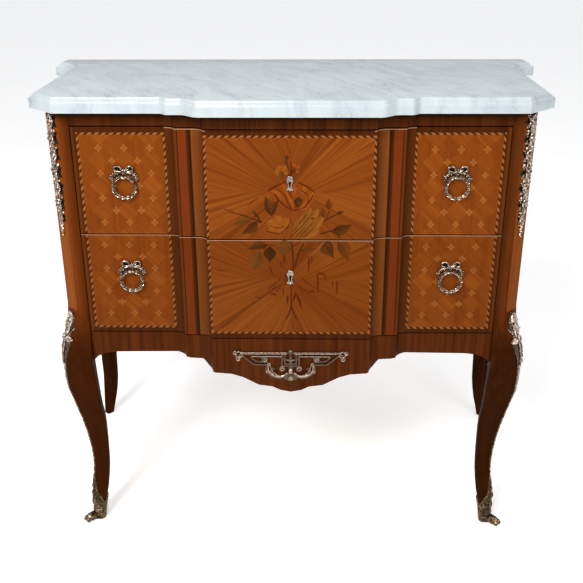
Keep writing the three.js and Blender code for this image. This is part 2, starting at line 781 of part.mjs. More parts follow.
// Key plate: round head, waist and flared foot, pierced by the keyhole
function makeKeyPlate(name, keyHeight) {
  const half = new THREE.SplineCurve(keyPlateShares.map(([x, z]) => flat(
    x * keyPlateWidth / 2, keyHeight + z * keyPlateHeight / 2,
  ))).getPoints(2 * smallSides).reverse();
  const outline = new THREE.Shape([...half, ...acrossCentre(half).slice(1, -1)]);
  const solid = toSolid(plate(outline, centreFront - seam - keyPlateThickness, keyPlateThickness));
  place(`${name}_keyhole_plate`, 'keyBrass', solid.subtract(keyhole(keyHeight)));
}

// A band of even width along a smooth curve in X and Z
function band(points, width) {
  const curve = new THREE.SplineCurve(points);
  const side = (sign) => steps(2 * (points.length - 1), (t) => {
    const [at, along] = [curve.getPoint(t), curve.getTangent(t)];
    return flat(at.x - sign * along.y * width / 2, at.y + sign * along.x * width / 2);
  });
  return new THREE.Shape([...side(-1), ...side(1).reverse()]);
}

// An oval hoop in X and Z
function hoop(x, z, halfWidth, halfHeight, width, tilt = 0) {
  const shape = new THREE.Shape();
  shape.absellipse(x, z, halfWidth, halfHeight, 0, 2 * Math.PI, false, tilt);
  const hole = new THREE.Path();
  hole.absellipse(x, z, halfWidth - width, halfHeight - width, 0, 2 * Math.PI, true, tilt);
  shape.holes.push(hole);
  return shape;
}

// Leaf wreath ring, centred on its hoop; the leaves swell the tube except where it hangs in the eye
function wreath() {
  const positions = [];
  const index = [];
  for (let i = 0; i < ringSteps; i++) {
    const turn = (i / ringSteps) * 2 * Math.PI;
    const fromTop = Math.min(i, ringSteps - i) / ringSteps;
    const leaf = Math.abs(Math.sin(turn * leafCount / 2)) * (fromTop > leafFreeShare ? 1 : 0);
    for (let k = 0; k < ringSides; k++) {
      const around = (k / ringSides) * 2 * Math.PI;
      const tube = ringTube + leafSwell * leaf;
      const reach = ringRadius + tube * Math.cos(around);
      positions.push(reach * Math.sin(turn), tube * Math.sin(around), reach * Math.cos(turn));
      const [a, b] = [i * ringSides + k, i * ringSides + (k + 1) % ringSides];
      const next = ((i + 1) % ringSteps) * ringSides;
      const [c, d] = [next + k, next + (k + 1) % ringSides];
      index.push(a, d, b, a, c, d);
    }
  }
  const geometry = new THREE.BufferGeometry();
  geometry.setAttribute('position', new THREE.Float32BufferAttribute(positions, 3));
  geometry.setIndex(index);
  return geometry;
}

// Ribbon bow: two tilted loops, a knot, two trailing ends and the eye that carries the ring
function pullBow() {
  const bowZ = ringRadius + bowRise;
  const bore = ringTube + eyeClearance;
  const loops = [-1, 1].map((side) => hoop(
    side * bowLoopWidth * bowSpreadShare, bowZ,
    bowLoopWidth / 2, bowLoopHeight / 2, bowRibbon, side * bowLoopTilt,
  ));
  const knotFoot = bowZ - knotRadius / 2;
  const tails = [-1, 1].map((side) => band(
    bowTailShares.map(([x, z]) => flat(side * x * tailReach, knotFoot + z * tailDrop)), bowRibbon,
  ));
  const ribbons = [...loops, ...tails].map((shape) => plate(shape, -bowThickness, bowThickness));
  const knot = new THREE.SphereGeometry(knotRadius, smallSides, smallRings);
  knot.translate(0, -bowThickness / 2, bowZ - knotRadius / 2);
  const lug = new THREE.CylinderGeometry(bore + eyeWall, bore + eyeWall, eyeWidth, eyeSides);
  lug.rotateZ(Math.PI / 2);
  lug.translate(0, -ringStandoff, ringRadius);
  const neck = board(
    [-eyeWidth / 2, -ringStandoff, ringRadius - eyeWall], [eyeWidth / 2, 0, bowZ - knotRadius],
  );
  const hole = new THREE.CylinderGeometry(bore, bore, 2 * eyeWidth, eyeSides);
  hole.rotateZ(Math.PI / 2);
  hole.translate(0, -ringStandoff, ringRadius);
  const wall = board([-bowLoopWidth * 2, 0, -bowZ], [bowLoopWidth * 2, bowThickness * 2, 2 * bowZ]);
  return join([...ribbons, knot, lug, neck]).subtract(join([hole, wall]));
}

function makePull(name, side, x, ringHeight) {
  const pull = new THREE.Group();
  pull.position.set(x, sideFront - seam, ringHeight);
  parts.add(pull);
  place(`${name}_${side}_pull_bow`, 'brass', pullBow(), pull);
  const ring = place(`${name}_${side}_pull_ring`, 'brass', wreath(), pull);
  ring.position.y = -ringStandoff;
}

// Apron mount: double bars round a pierced square, leaf curls, lines that step down to swags, and a bud
function makeApronMount() {
  const point = (side, [x, z]) => flat(side * x * apronMountHalfWidth, apronMountTop + z * apronMountHeight);
  const near = centreFront - seam - apronMountThickness;
  const halves = [-1, 1].flatMap((side) => {
    const line = (shares, width = apronBar) => band(shares.map((share) => point(side, share)), width);
    const [rosetteAt, endAt, curlAt] = [apronRosetteShares, apronEndShares, apronCurlShares]
      .map((share) => point(side, share));
    const rosette = new THREE.Shape();
    rosette.absarc(rosetteAt.x, rosetteAt.y, rosetteRadius, 0, 2 * Math.PI);
    return [
      line(apronUpperBarShares), line(apronSecondBarShares),
      line(apronDiagonalShares), line(apronInnerLineShares),
      line(apronSwagShares, 2 * apronBar), line(apronLeafShares, 2 * apronBar), rosette,
      hoop(endAt.x, endAt.y, endCurlRadius, endCurlRadius, apronBar),
      hoop(curlAt.x, curlAt.y, curlRadius, curlRadius, apronBar),
    ];
  });
  const box = (half, low, top) => [flat(-half, low), flat(half, low), flat(half, top), flat(-half, top)];
  const frames = apronFrameShares.map(([halfShare, dropShare]) => {
    const half = halfShare * apronMountHalfWidth;
    const [top, low] = [apronMountTop - apronBar, apronMountTop - dropShare * apronMountHeight];
    const shape = new THREE.Shape(box(half, low, top));
    shape.holes.push(new THREE.Path(box(half - apronBar, low + apronBar, top - apronBar).reverse()));
    return shape;
  });
  const half = apronFrameShares[0][0] * apronMountHalfWidth;
  const low = apronFrameShares[0][1] * apronMountHeight;
  const middle = apronMountTop - (apronBar + low) / 2;
  const cross = [
    band([flat(0, apronMountTop - low), flat(0, apronMountTop - apronBar)], apronBar),
    band([flat(-half, middle), flat(half, middle)], apronBar),
  ];
  const collar = new THREE.Shape();
  collar.absarc(0, apronMountTop + collarPlaceShare * apronMountHeight, collarRadius, 0, 2 * Math.PI);
  const tip = apronTipShares.map((share) => point(1, share));
  const palmette = new THREE.Shape([...tip, ...acrossCentre(tip).slice(1, -1)]);
  const bud = new THREE.SphereGeometry(budRadius, smallSides, smallRings);
  bud.scale(1, 1, budStretch);
  bud.translate(0, near + apronMountThickness / 2, apronMountTop + budPlaceShare * apronMountHeight);
  const plates = [...halves, ...frames, ...cross, collar, palmette]
    .map((shape) => plate(shape, near, apronMountThickness));
  const wall = board(
    [-apronMountHalfWidth, centreFront - seam, 0],
    [apronMountHalfWidth, centreFront + budRadius, overallHeight],
  );
  place('apron_mount', 'brass', join([...plates, bud]).subtract(toSolid(wall)));
}

// Middle of the canted corner at one height
function cantCentre(height) {
  const { outer, front, cant } = legSection(height);
  return flat(outer - cant / 2, front + cant / 2);
}

// A piece drawn with its back on the plane Y = 0, turned to the canted corner and set at a height
function onCant(geometry, height, inset = 0) {
  const centre = cantCentre(height);
  geometry.translate(0, inset, height);
  geometry.rotateZ(Math.PI / 4);
  geometry.translate(centre.x, centre.y, 0);
  return geometry;
}

// A cast shell over the corner of the leg, with its half width given by shares along its height
function castOver(bottom, top, thickness, halfWidth, outlineShares) {
  const skin = legSkin(thickness);
  const window = loft(steps(castLevels, (t) => {
    const height = bottom + (top - bottom) * t;
    const centre = cantCentre(height);
    const reach = halfWidth * follow(outlineShares, t);
    const depth = reach + stileCant / 2 + thickness;
    const corner = (across, out) => flat(
      centre.x + (across + out) * Math.SQRT1_2, centre.y + (across - out) * Math.SQRT1_2,
    );
    return {
      height,
      ring: [corner(-reach, depth), corner(reach, depth), corner(reach, -depth), corner(-reach, -depth)],
    };
  }));
  return skin.intersect(toSolid(window));
}

// Flower garland: blossoms that grow smaller on a swaying stem, with leaves between them
function makeGarlands() {
  const places = Array.from({ length: garlandCount }, (_, i) => {
    const t = i / (garlandCount - 1);
    return {
      radius: blossomRadius + (blossomTipRadius - blossomRadius) * t,
      x: garlandSway * Math.sin(i * Math.PI / 2) * (1 - t / 2),
      z: garlandTop - blossomRadius - (garlandLength - blossomRadius) * t,
      side: i % 2 ? 1 : -1,
    };
  });
  const blossoms = places.map(({ radius, x, z }) => {
    const blossom = new THREE.SphereGeometry(radius, blossomSides, blossomRings);
    blossom.scale(1, blossomDepthShare, 1);
    blossom.translate(x, 0, 0);
    return onCant(blossom, z);
  });
  const leaves = places.slice(0, -1).map(({ radius, z, side }) => {
    const leaf = new THREE.SphereGeometry(1, blossomSides - 1, blossomRings - 1);
    leaf.scale(leafWidth / 2, radius * blossomDepthShare / 2, leafLength / 2);
    leaf.rotateY(side * leafLean);
    leaf.translate(side * radius / 2, 0, -radius);
    return onCant(leaf, z);
  });
  const [first, last] = [places[0], places.at(-1)];
  const stem = board([-garlandStem / 2, -garlandStem, last.z - first.z], [garlandStem / 2, 0, 0]);
  const garland = join([...blossoms, ...leaves, onCant(stem, first.z)]).subtract(toSolid(legBody(seam)));
  placePair((side) => `${side}_garland_mount`, 'brass', garland);
}

// Knee mount: a leaf-shaped shell with an oval boss and two pairs of volutes
function makeKneeMounts() {
  const shell = castOver(kneeBottom, kneeTop, kneeThickness, kneeHalfWidth, kneeOutlineShares);
  const at = (share) => kneeBottom + (kneeTop - kneeBottom) * share;
  const boss = new THREE.SphereGeometry(1, smallSides, smallRings);
  boss.scale(cabochonWidth / 2, cabochonWidth / 2, cabochonHeight / 2);
  const volutes = voluteShares.flatMap((share) => [-1, 1].map((side) => {
    const volute = new THREE.TorusGeometry(voluteRadius, voluteTube, smallRings, smallSides);
    volute.rotateX(Math.PI / 2);
    volute.translate(side * (voluteRadius + voluteTube), 0, 0);
    return onCant(volute, at(share), -kneeThickness / 2);
  }));
  const relief = join([onCant(boss, at(cabochonShare), -kneeThickness / 2), ...volutes]);
  placePair((side) => `${side}_knee_mount`, 'brass', shell.add(relief).subtract(toSolid(legBody(seam))));
}

function makeLegStrips() {
  const [bottom, top] = [footMountTop + seam, kneeBottom - seam];
  const strip = castOver(bottom, top, edgeThickness, edgeHalfWidth, edgeOutlineShares);
  placePair((side) => `${side}_leg_edge_strip`, 'brass', strip);
}

// Foot mount: a low cup round the foot, a tongue up the corner and a split toe
function makeFootMounts() {
  const skin = legSkin(footMountThickness);
  const cup = skin.intersect(toSolid(board([0, -marbleDepth / 2, 0], [marbleWidth / 2, 0, footCupHeight])));
  const tongue = castOver(0, footMountTop, footMountThickness, footHalfWidth, footOutlineShares);
  const toes = [-1, 1].map((side) => {
    const toe = new THREE.SphereGeometry(1, smallSides, smallRings);
    toe.scale(toeWidth / 2, toeLength / 2, toeHeight / 2);
    toe.translate(side * toeWidth * toeSetShare, 0, 0);
    return onCant(toe, toeHeight / 2, -toeLength * toeReachShare);
  });
  const mount = cup.add(tongue).add(join(toes)).subtract(toSolid(legBody(seam, 2 * cutOverrun)));
  placePair((side) => `${side}_foot_mount`, 'brass', mount);
}

makeMarble();
makeCase();
makeApron();
makeRails();
makeBottom();
makeRunners();
makeDrawer({
  name: 'upper', bottom: upperBottom, top: upperTop, sideTop: upperTop - drawerTopGap,
  keyShare: upperKeyShare, ringShare: upperRingShare, strikeLevel: friezeBottom,
});
makeDrawer({
  name: 'lower', bottom: lowerBottom, top: lowerTop, sideTop: railBottom - drawerTopGap,
  keyShare: lowerKeyShare, ringShare: lowerRingShare, strikeLevel: railBottom,
});
makeApronMount();
makeGarlands();
makeKneeMounts();
makeLegStrips();
makeFootMounts();

export default parts;
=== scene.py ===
"""Looks of a commode chest: inlaid veneers, a marble slab and cast mounts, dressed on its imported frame."""

import json
import logging
import math
import random
from collections.abc import Callable, Sequence
from dataclasses import dataclass, field
from enum import Enum

import bmesh
import bpy
from mathutils import Euler, Matrix, Vector
from mathutils.bvhtree import BVHTree

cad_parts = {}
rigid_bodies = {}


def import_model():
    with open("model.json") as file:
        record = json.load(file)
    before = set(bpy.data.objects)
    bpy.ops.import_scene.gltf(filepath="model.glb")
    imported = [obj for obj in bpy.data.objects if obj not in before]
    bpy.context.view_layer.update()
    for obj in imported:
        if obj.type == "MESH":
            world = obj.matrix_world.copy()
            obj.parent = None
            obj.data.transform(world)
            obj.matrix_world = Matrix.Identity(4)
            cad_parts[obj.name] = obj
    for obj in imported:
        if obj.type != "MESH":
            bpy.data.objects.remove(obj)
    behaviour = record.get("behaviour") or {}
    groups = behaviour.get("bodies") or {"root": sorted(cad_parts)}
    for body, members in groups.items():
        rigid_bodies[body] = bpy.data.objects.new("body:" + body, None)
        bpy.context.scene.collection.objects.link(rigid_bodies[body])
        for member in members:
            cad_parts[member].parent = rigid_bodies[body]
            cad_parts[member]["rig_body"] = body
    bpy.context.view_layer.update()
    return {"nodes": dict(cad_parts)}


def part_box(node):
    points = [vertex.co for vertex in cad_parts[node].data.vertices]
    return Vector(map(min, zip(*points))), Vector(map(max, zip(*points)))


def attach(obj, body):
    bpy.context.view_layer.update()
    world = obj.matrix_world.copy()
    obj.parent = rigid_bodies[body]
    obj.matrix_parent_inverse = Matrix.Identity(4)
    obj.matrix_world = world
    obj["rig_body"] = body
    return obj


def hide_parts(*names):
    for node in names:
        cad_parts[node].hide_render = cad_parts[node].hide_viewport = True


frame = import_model()
LOG = logging.getLogger("commode_chest")

CRISP = 0.0002  # half the width of a clean edge between two veneers
CANT_OUT, CANT_FORWARD = 0.387, 0.166  # how far aside and forward the middle of a canted corner stands
FRONT, UP = Vector((0, -1, 0)), Vector((0, 0, 1))

Colour = tuple[float, float, float]
Point = tuple[float, float, float]


class Side(Enum):
    """The two hands of the chest, seen from the front."""

    LEFT = -1
    RIGHT = 1

    @property
    def word(self) -> str:
        """The hand's name as the nodes spell it."""
        return self.name.lower()


class Level(Enum):
    """The two drawers."""

    UPPER = "upper"
    LOWER = "lower"


# Bench tools


def clear() -> None:
    """Leaves edit mode and deselects everything."""
    if bpy.context.object is not None and bpy.context.object.mode != "OBJECT":
        bpy.ops.object.mode_set(mode="OBJECT")
    bpy.ops.object.select_all(action="DESELECT")


def take(*pieces: bpy.types.Object) -> bpy.types.Object:
    """Selects these pieces alone and makes the first one active.

    Args:
        pieces: the pieces to work on.

    Returns:
        The active piece.
    """
    clear()
    for piece in pieces:
        piece.select_set(True)
    bpy.context.view_layer.objects.active = pieces[0]
    return pieces[0]


def pick(piece: bpy.types.Object, test: Callable[[Vector], bool]) -> None:
    """In edit mode, selects the corners that pass a test of place and nothing else.

    Args:
        piece: the mesh in edit mode.
        test: gets a corner's place.
    """
    bpy.ops.mesh.select_mode(type="VERT")
    bpy.ops.mesh.select_all(action="DESELECT")
    made = bmesh.from_edit_mesh(piece.data)
    for vert in made.verts:
        vert.select = test(vert.co)
    made.select_flush_mode()
    bmesh.update_edit_mesh(piece.data)


def apply_modifier(piece: bpy.types.Object, kind: str, **settings: object) -> None:
    """Puts one modifier on a piece and applies it.

    Args:
        piece: the mesh.
        kind: the modifier's type.
        settings: its values.
    """
    take(piece)
    made = piece.modifiers.new(kind.lower(), kind)
    for name, value in settings.items():
        setattr(made, name, value)
    bpy.ops.object.modifier_apply(modifier=made.name)


def smooth(piece: bpy.types.Object, degrees: float = 30) -> None:
    """Shades a piece smooth except at edges sharper than an angle."""
    take(piece)
    bpy.ops.object.shade_smooth_by_angle(angle=math.radians(degrees))


def settle(piece: bpy.types.Object) -> bpy.types.Object:
    """Puts a piece's place, turn and scale into its mesh.

    Args:
        piece: the piece.

    Returns:
        The same piece.
    """
    take(piece)
    bpy.ops.object.transform_apply(location=True, rotation=True, scale=True)
    return piece


def twin(piece: bpy.types.Object, name: str) -> bpy.types.Object:
    """A copy of a piece with its own mesh.

    Args:
        piece: the piece.
        name: the copy's name.

    Returns:
        The copy.
    """
    made = bpy.data.objects.new(name, piece.data.copy())
    made.data.name = name
    bpy.context.scene.collection.objects.link(made)
    return made


def join(pieces: Sequence[bpy.types.Object], name: str) -> bpy.types.Object:
    """Joins several meshes into one object of that name.

    Args:
        pieces: the meshes.
        name: the object's name.

    Returns:
        The object.
    """
    whole = take(*pieces)
    if len(pieces) > 1:
        bpy.ops.object.join()
    whole.name = name
    whole.data.name = name
    return whole


def dress(piece: bpy.types.Object, finish: bpy.types.Material) -> bpy.types.Object:
    """Gives a piece one finish all over.

    Args:
        piece: the piece.
        finish: its material.

    Returns:
        The same piece.
    """
    piece.data.materials.clear()
    piece.data.materials.append(finish)
    return piece


def cast_whole(pieces: Sequence[bpy.types.Object], name: str, finish: bpy.types.Material) -> bpy.types.Object:
    """Joins castings into one object; those without a finish of their own get this one.

    Args:
        pieces: the castings.
        name: the object's name.
        finish: the usual finish.

    Returns:
        The object.
    """
    for piece in pieces:
        if not piece.data.materials:
            dress(piece, finish)
    return join(pieces, name)


def seat(piece: bpy.types.Object, body: str, stands_for: Sequence[str] = ()) -> None:
    """Hangs a finished piece on a body of the frame.

    Args:
        piece: the piece, in place.
        body: the body that it moves with.
        stands_for: the nodes that it is shown in place of.
    """
    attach(piece, body)
    if stands_for:
        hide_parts(*stands_for)
    LOG.info("%s: %d faces, on %s", piece.name, len(piece.data.polygons), body)


def body_of_node(node: str) -> str:
    """The body that a node of the frame rides on."""
    return frame["nodes"][node]["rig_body"]


def mount(pieces: Sequence[bpy.types.Object], node: str, finish: bpy.types.Material) -> None:
    """Joins castings and hangs them in place of a node."""
    seat(cast_whole(pieces, f"{node}_cast", finish), body_of_node(node), [node])


def from_node(node: str, soften: float = 0, angle: float = 30) -> bpy.types.Object:
    """A welded copy of a node with softened edges.

    Args:
        node: the node's name.
        soften: the width of the rounding along its sharp edges.
        angle: the angle in degrees above which an edge is sharp.

    Returns:
        The copy, in the node's place.
    """
    source = frame["nodes"][node]
    piece = bpy.data.objects.new(f"{node}_dressed", source.data.copy())
    bpy.context.scene.collection.objects.link(piece)
    take(piece)
    bpy.ops.object.mode_set(mode="EDIT")
    bpy.ops.mesh.select_all(action="SELECT")
    bpy.ops.mesh.remove_doubles(threshold=2e-6)
    bpy.ops.mesh.dissolve_limited(angle_limit=math.radians(0.4))
    bpy.ops.object.mode_set(mode="OBJECT")
    if soften:
        apply_modifier(
            piece, "BEVEL", width=soften, segments=2, limit_method="ANGLE",
            angle_limit=math.radians(angle), use_clamp_overlap=True, harden_normals=False,
        )
    smooth(piece, angle)
    return piece


# Finishes


def operator(name: str, swapped: bool = False) -> Callable[..., "Wire"]:
    """The method behind one operator of a wire.

    Args:
        name: the operation of its math node.
        swapped: whether the wire is the second operand.

    Returns:
        The method.
    """

    def apply(wire: "Wire", *others: "Value") -> "Wire":
        """Adds the math node."""
        return wire.graph.math(name, *((*others, wire) if swapped else (wire, *others)))

    return apply


@dataclass(eq=False)
class Wire:
    """A node's output; arithmetic with it adds math nodes."""

    graph: "Graph"
    socket: bpy.types.NodeSocket

    __add__, __radd__ = operator("ADD"), operator("ADD", True)
    __sub__, __rsub__ = operator("SUBTRACT"), operator("SUBTRACT", True)
    __mul__, __rmul__ = operator("MULTIPLY"), operator("MULTIPLY", True)
    __truediv__, __pow__ = operator("DIVIDE"), operator("POWER")
    __lt__, __gt__ = operator("LESS_THAN"), operator("GREATER_THAN")
    __abs__, __round__ = operator("ABSOLUTE"), operator("ROUND")


Value = Wire | float | tuple


class Graph:
    """Writes a shader tree: each method adds a node, feeds its inputs and gives its output."""

    def __init__(self, tree: bpy.types.NodeTree) -> None:
        """Keeps the tree to write in."""
        self.tree = tree

    def feed(self, socket: bpy.types.NodeSocket, value: Value) -> None:
        """Links an output to a socket, or sets the socket's own value.

        Args:
            socket: the input socket.
            value: an output or a plain value.
        """
        if isinstance(value, Wire):
            self.tree.links.new(value.socket, socket)
        elif isinstance(value, tuple) and socket.type == "RGBA":
            socket.default_value = (*value, 1.0)
        else:
            socket.default_value = value

    def fill(self, node: bpy.types.Node, inputs: dict[str | int, Value]) -> None:
        """Feeds several sockets of a node."""
        for key, value in inputs.items():
            self.feed(node.inputs[key], value)

    def add(
        self, kind: str, inputs: dict[str | int, Value] | None = None, output: str | int = 0,
        **settings: object
    ) -> Wire:
        """Adds a node.

        Args:
            kind: the node's type.
            inputs: what feeds its sockets.
            output: which output to give back.
            settings: its own options.

        Returns:
            The output socket.
        """
        node = self.tree.nodes.new(kind)
        for name, value in settings.items():
            setattr(node, name, value)
        self.fill(node, inputs or {})
        return Wire(self, node.outputs[output])

    def math(self, operation: str, *values: Value, clamp: bool = False) -> Wire:
        """One step of arithmetic."""
        return self.add("ShaderNodeMath", dict(enumerate(values)), operation=operation, use_clamp=clamp)

    def step(self, value: Value, low: float, high: float, start: float = 0.0) -> Wire:
        """A smooth run from start, 0 or 1, at low to the other of the two at high."""
        ends = {0: value, 1: low, 2: high, 3: start, 4: 1.0 - start}
        return self.add("ShaderNodeMapRange", ends, interpolation_type="SMOOTHSTEP")

    def band(self, value: Value, low: float, high: float, soft: float = CRISP) -> Wire:
        """A mask that is 1 between two values and fades over soft on either side."""
        return self.step(value, low - soft, low + soft) * self.step(value, high - soft, high + soft, 1.0)

    def mix(self, share: Value, first: Value, second: Value, blend: str = "MIX") -> Wire:
        """Mixes two colours.

        Args:
            share: how much of the second one there is.
            first: the first.
            second: the second.
            blend: how the second lies over the first.

        Returns:
            The colour.
        """
        return self.add(
            "ShaderNodeMix", {0: share, 6: first, 7: second}, output=2, data_type="RGBA", blend_type=blend
        )

    def blend(self, share: Value, first: Value, second: Value) -> Wire:
        """Mixes two plain values."""
        return self.add("ShaderNodeMix", {0: share, 2: first, 3: second}, output=0, data_type="FLOAT")

    def noise(
        self, where: Value, scale: float, detail: float = 4, rough: float = 0.55, distort: float = 0
    ) -> Wire:
        """Cloudy noise.

        Args:
            where: the point.
            scale: how fine it is.
            detail: how many finer layers it has.
            rough: how strong those are.
            distort: how far it is bent.

        Returns:
            A value from 0 to 1.
        """
        return self.add(
            "ShaderNodeTexNoise",
            {"Vector": where, "Scale": scale, "Detail": detail, "Roughness": rough, "Distortion": distort},
        )

    def ramp(self, value: Value, stops: Sequence[tuple[float, Colour]]) -> Wire:
        """A colour ramp through these stops.

        Args:
            value: the place on the ramp.
            stops: each colour and its place.

        Returns:
            The colour.
        """
        node = self.tree.nodes.new("ShaderNodeValToRGB")
        strip = node.color_ramp
        while len(strip.elements) < len(stops):
            strip.elements.new(0.5)
        for element, (place, colour) in zip(strip.elements, stops):
            element.position = place
            element.color = (*colour, 1.0)
        self.feed(node.inputs[0], value)
        return Wire(self, node.outputs[0])

    def vector(self, x: Value, y: Value, z: Value) -> Wire:
        """A vector from three values."""
        return self.add("ShaderNodeCombineXYZ", {0: x, 1: y, 2: z})

    def split(self, vector: Wire) -> tuple[Wire, ...]:
        """A vector's x, y and z.

        Args:
            vector: the vector.

        Returns:
            The three values.
        """
        node = self.tree.nodes.new("ShaderNodeSeparateXYZ")
        self.feed(node.inputs[0], vector)
        return tuple(Wire(self, output) for output in node.outputs)

    def place(self) -> tuple[Wire, ...]:
        """The surface point in the row frame, and its x, y and z apart."""
        point = self.add("ShaderNodeTexCoord", output="Object")
        return point, *self.split(point)

    def upward(self) -> Wire:
        """How far the surface faces up, from -1 to 1."""
        return self.split(self.add("ShaderNodeNewGeometry", output="Normal"))[2]

    def turned(self, point: Value, turn: Point) -> Wire:
        """A vector turned about the three axes."""
        return self.add("ShaderNodeMapping", {"Vector": point, "Rotation": turn})

    def scaled(self, point: Value, size: Point, turn: Point = (0, 0, 0)) -> Wire:
        """A vector turned, then stretched."""
        return self.add("ShaderNodeVectorMath", {0: self.turned(point, turn), 1: size}, operation="MULTIPLY")

    def bump(self, height: Value, distance: float, strength: float) -> Wire:
        """The normal of a surface with this relief."""
        return self.add("ShaderNodeBump", {"Height": height, "Distance": distance, "Strength": strength})

    def call(self, group: bpy.types.NodeTree, inputs: dict[str, Value]) -> dict[str, Wire]:
        """Places a shader group, feeds its inputs and gives its outputs by name.

        Args:
            group: the group.
            inputs: what feeds its sockets.

        Returns:
            The outputs.
        """
        node = self.tree.nodes.new("ShaderNodeGroup")
        node.node_tree = group
        self.fill(node, inputs)
        return {output.name: Wire(self, output) for output in node.outputs}


def new_group(
    name: str, inputs: dict[str, float | None], outputs: Sequence[str]
) -> tuple[Graph, dict[str, Wire], bpy.types.Node]:
    """Starts a shader node group whose outputs are plain values.

    Args:
        name: the group's name.
        inputs: each input's first value, or None for a vector.
        outputs: the outputs' names.

    Returns:
        A writer for the group, its inputs by name and its output node.
    """
    tree = bpy.data.node_groups.new(name, "ShaderNodeTree")
    for key, value in inputs.items():
        kind = "NodeSocketVector" if value is None else "NodeSocketFloat"
        socket = tree.interface.new_socket(key, in_out="INPUT", socket_type=kind)
        if value is not None:
            socket.default_value = value
    for key in outputs:
        tree.interface.new_socket(key, in_out="OUTPUT", socket_type="NodeSocketFloat")
    g, start = Graph(tree), tree.nodes.new("NodeGroupInput")
    return g, {key: Wire(g, start.outputs[key]) for key in inputs}, tree.nodes.new("NodeGroupOutput")


class Effects:
    """The effects that several finishes share, each a shader group built once."""

    slip_pitch: float = 0.0118  # along a line of stringing, from one light slip to the next
    slip_lean: float = 95.0  # how far the slips lean, in pitches for each metre across
    line_edge: tuple[float, float] = (0.0017, 0.0021)  # where a line fades, from its middle
    diamond: tuple[float, float] = (0.042, 0.0422)  # the trellis's pitch across and up

    def __init__(self) -> None:
        """Builds every group."""
        self.grain = self.make_grain()
        self.rope = self.make_rope()
        self.trellis = self.make_trellis()
        self.wear = self.make_wear()

    def make_grain(self) -> bpy.types.NodeTree:
        """Wood grain that runs along the vector's z: broad streaks, fine fibres and pores.

        Returns:
            The group.
        """
        g, start, end = new_group("wood_grain", {"Vector": None, "Width": 1.0},
                                  ("Streaks", "Fibres", "Height"))
        point = start["Vector"]
        wide = g.add("ShaderNodeVectorMath", {0: point, "Scale": start["Width"]}, operation="SCALE")
        streaks = g.noise(g.scaled(wide, (95, 95, 3.2)), 1.0, 5, 0.6, 0.5)
        fibres = g.noise(g.scaled(wide, (900, 900, 14)), 1.0, 3, 0.6)
        pores = g.step(g.noise(g.scaled(point, (1700, 1700, 60)), 1.0, 2, 0.5), 0.62, 0.74)
        height = fibres - pores * 0.8
        g.fill(end, {"Streaks": streaks, "Fibres": fibres, "Height": height})
        return g.tree

    def make_rope(self) -> bpy.types.NodeTree:
        """A line of slanted light and dark slips, as rope stringing is cut.

        Returns:
            The group.
        """
        g, start, end = new_group("rope_stringing", {"Along": 0, "Across": 0}, ("Mask", "Light"))
        along, across = start["Along"], start["Across"]
        mask = 1.0 - g.step(abs(across), *self.line_edge)
        turn = along / self.slip_pitch + across * self.slip_lean
        wave = g.math("PINGPONG", turn, 0.5)
        g.feed(end.inputs["Mask"], mask)
        g.feed(end.inputs["Light"], g.step(wave, 0.19, 0.29))
        return g.tree

    def make_trellis(self) -> bpy.types.NodeTree:
        """A field of diamonds with a small four-petalled flower where their corners meet.

        Returns:
            The group.
        """
        g, start, end = new_group("flower_trellis", {"Across": 0, "Up": 0},
                                  ("Tone", "Line", "Flower", "Weave"))
        across = start["Across"] / self.diamond[0]
        up = start["Up"] / self.diamond[1]
        a, b = across + up, across - up
        off_a = a - round(a)
        off_b = b - round(b)
        near = g.math("MINIMUM", abs(off_a), abs(off_b))
        line = 1.0 - g.step(near, 0.008, 0.026)
        span = g.math("SQRT", off_a ** 2.0 + off_b ** 2.0)
        turn = g.math("ARCTAN2", off_a + off_b, off_a - off_b)
        petal = abs(g.math("COSINE", turn * 2.0))
        reach = 0.06 + petal ** 0.6 * 0.14
        flower = 1.0 - g.step(span - reach, -0.012, 0.012)
        column, row = g.math("FLOOR", a), g.math("FLOOR", b)
        tone = g.add("ShaderNodeTexWhiteNoise", {"Vector": g.vector(column, row, 0.0)}, noise_dimensions="2D")
        weave = g.math("PINGPONG", column + row, 1.0)
        g.fill(end, {"Tone": tone, "Line": line, "Flower": flower, "Weave": weave})
        return g.tree

    def make_wear(self) -> bpy.types.NodeTree:
        """Proud places, for wear and painted highlights, and hollows, for painted shade, broken up by noise.

        Returns:
            The group.
        """
        g, start, end = new_group("worn_edges", {"Vector": None, "Scale": 300.0}, ("Proud", "Hollow"))
        curve = g.add("ShaderNodeNewGeometry", output="Pointiness")
        cloud = g.add("ShaderNodeTexNoise",
                      {"Vector": start["Vector"], "Scale": start["Scale"], "Detail": 3.0})
        shaken = curve + (cloud - 0.5) * 0.06
        g.feed(end.inputs["Proud"], g.step(shaken, 0.51, 0.56))
        # Hollow: painted shade where the surface curves inward
        g.feed(end.inputs["Hollow"], 1.0 - g.step(shaken, 0.43, 0.495))
        return g.tree


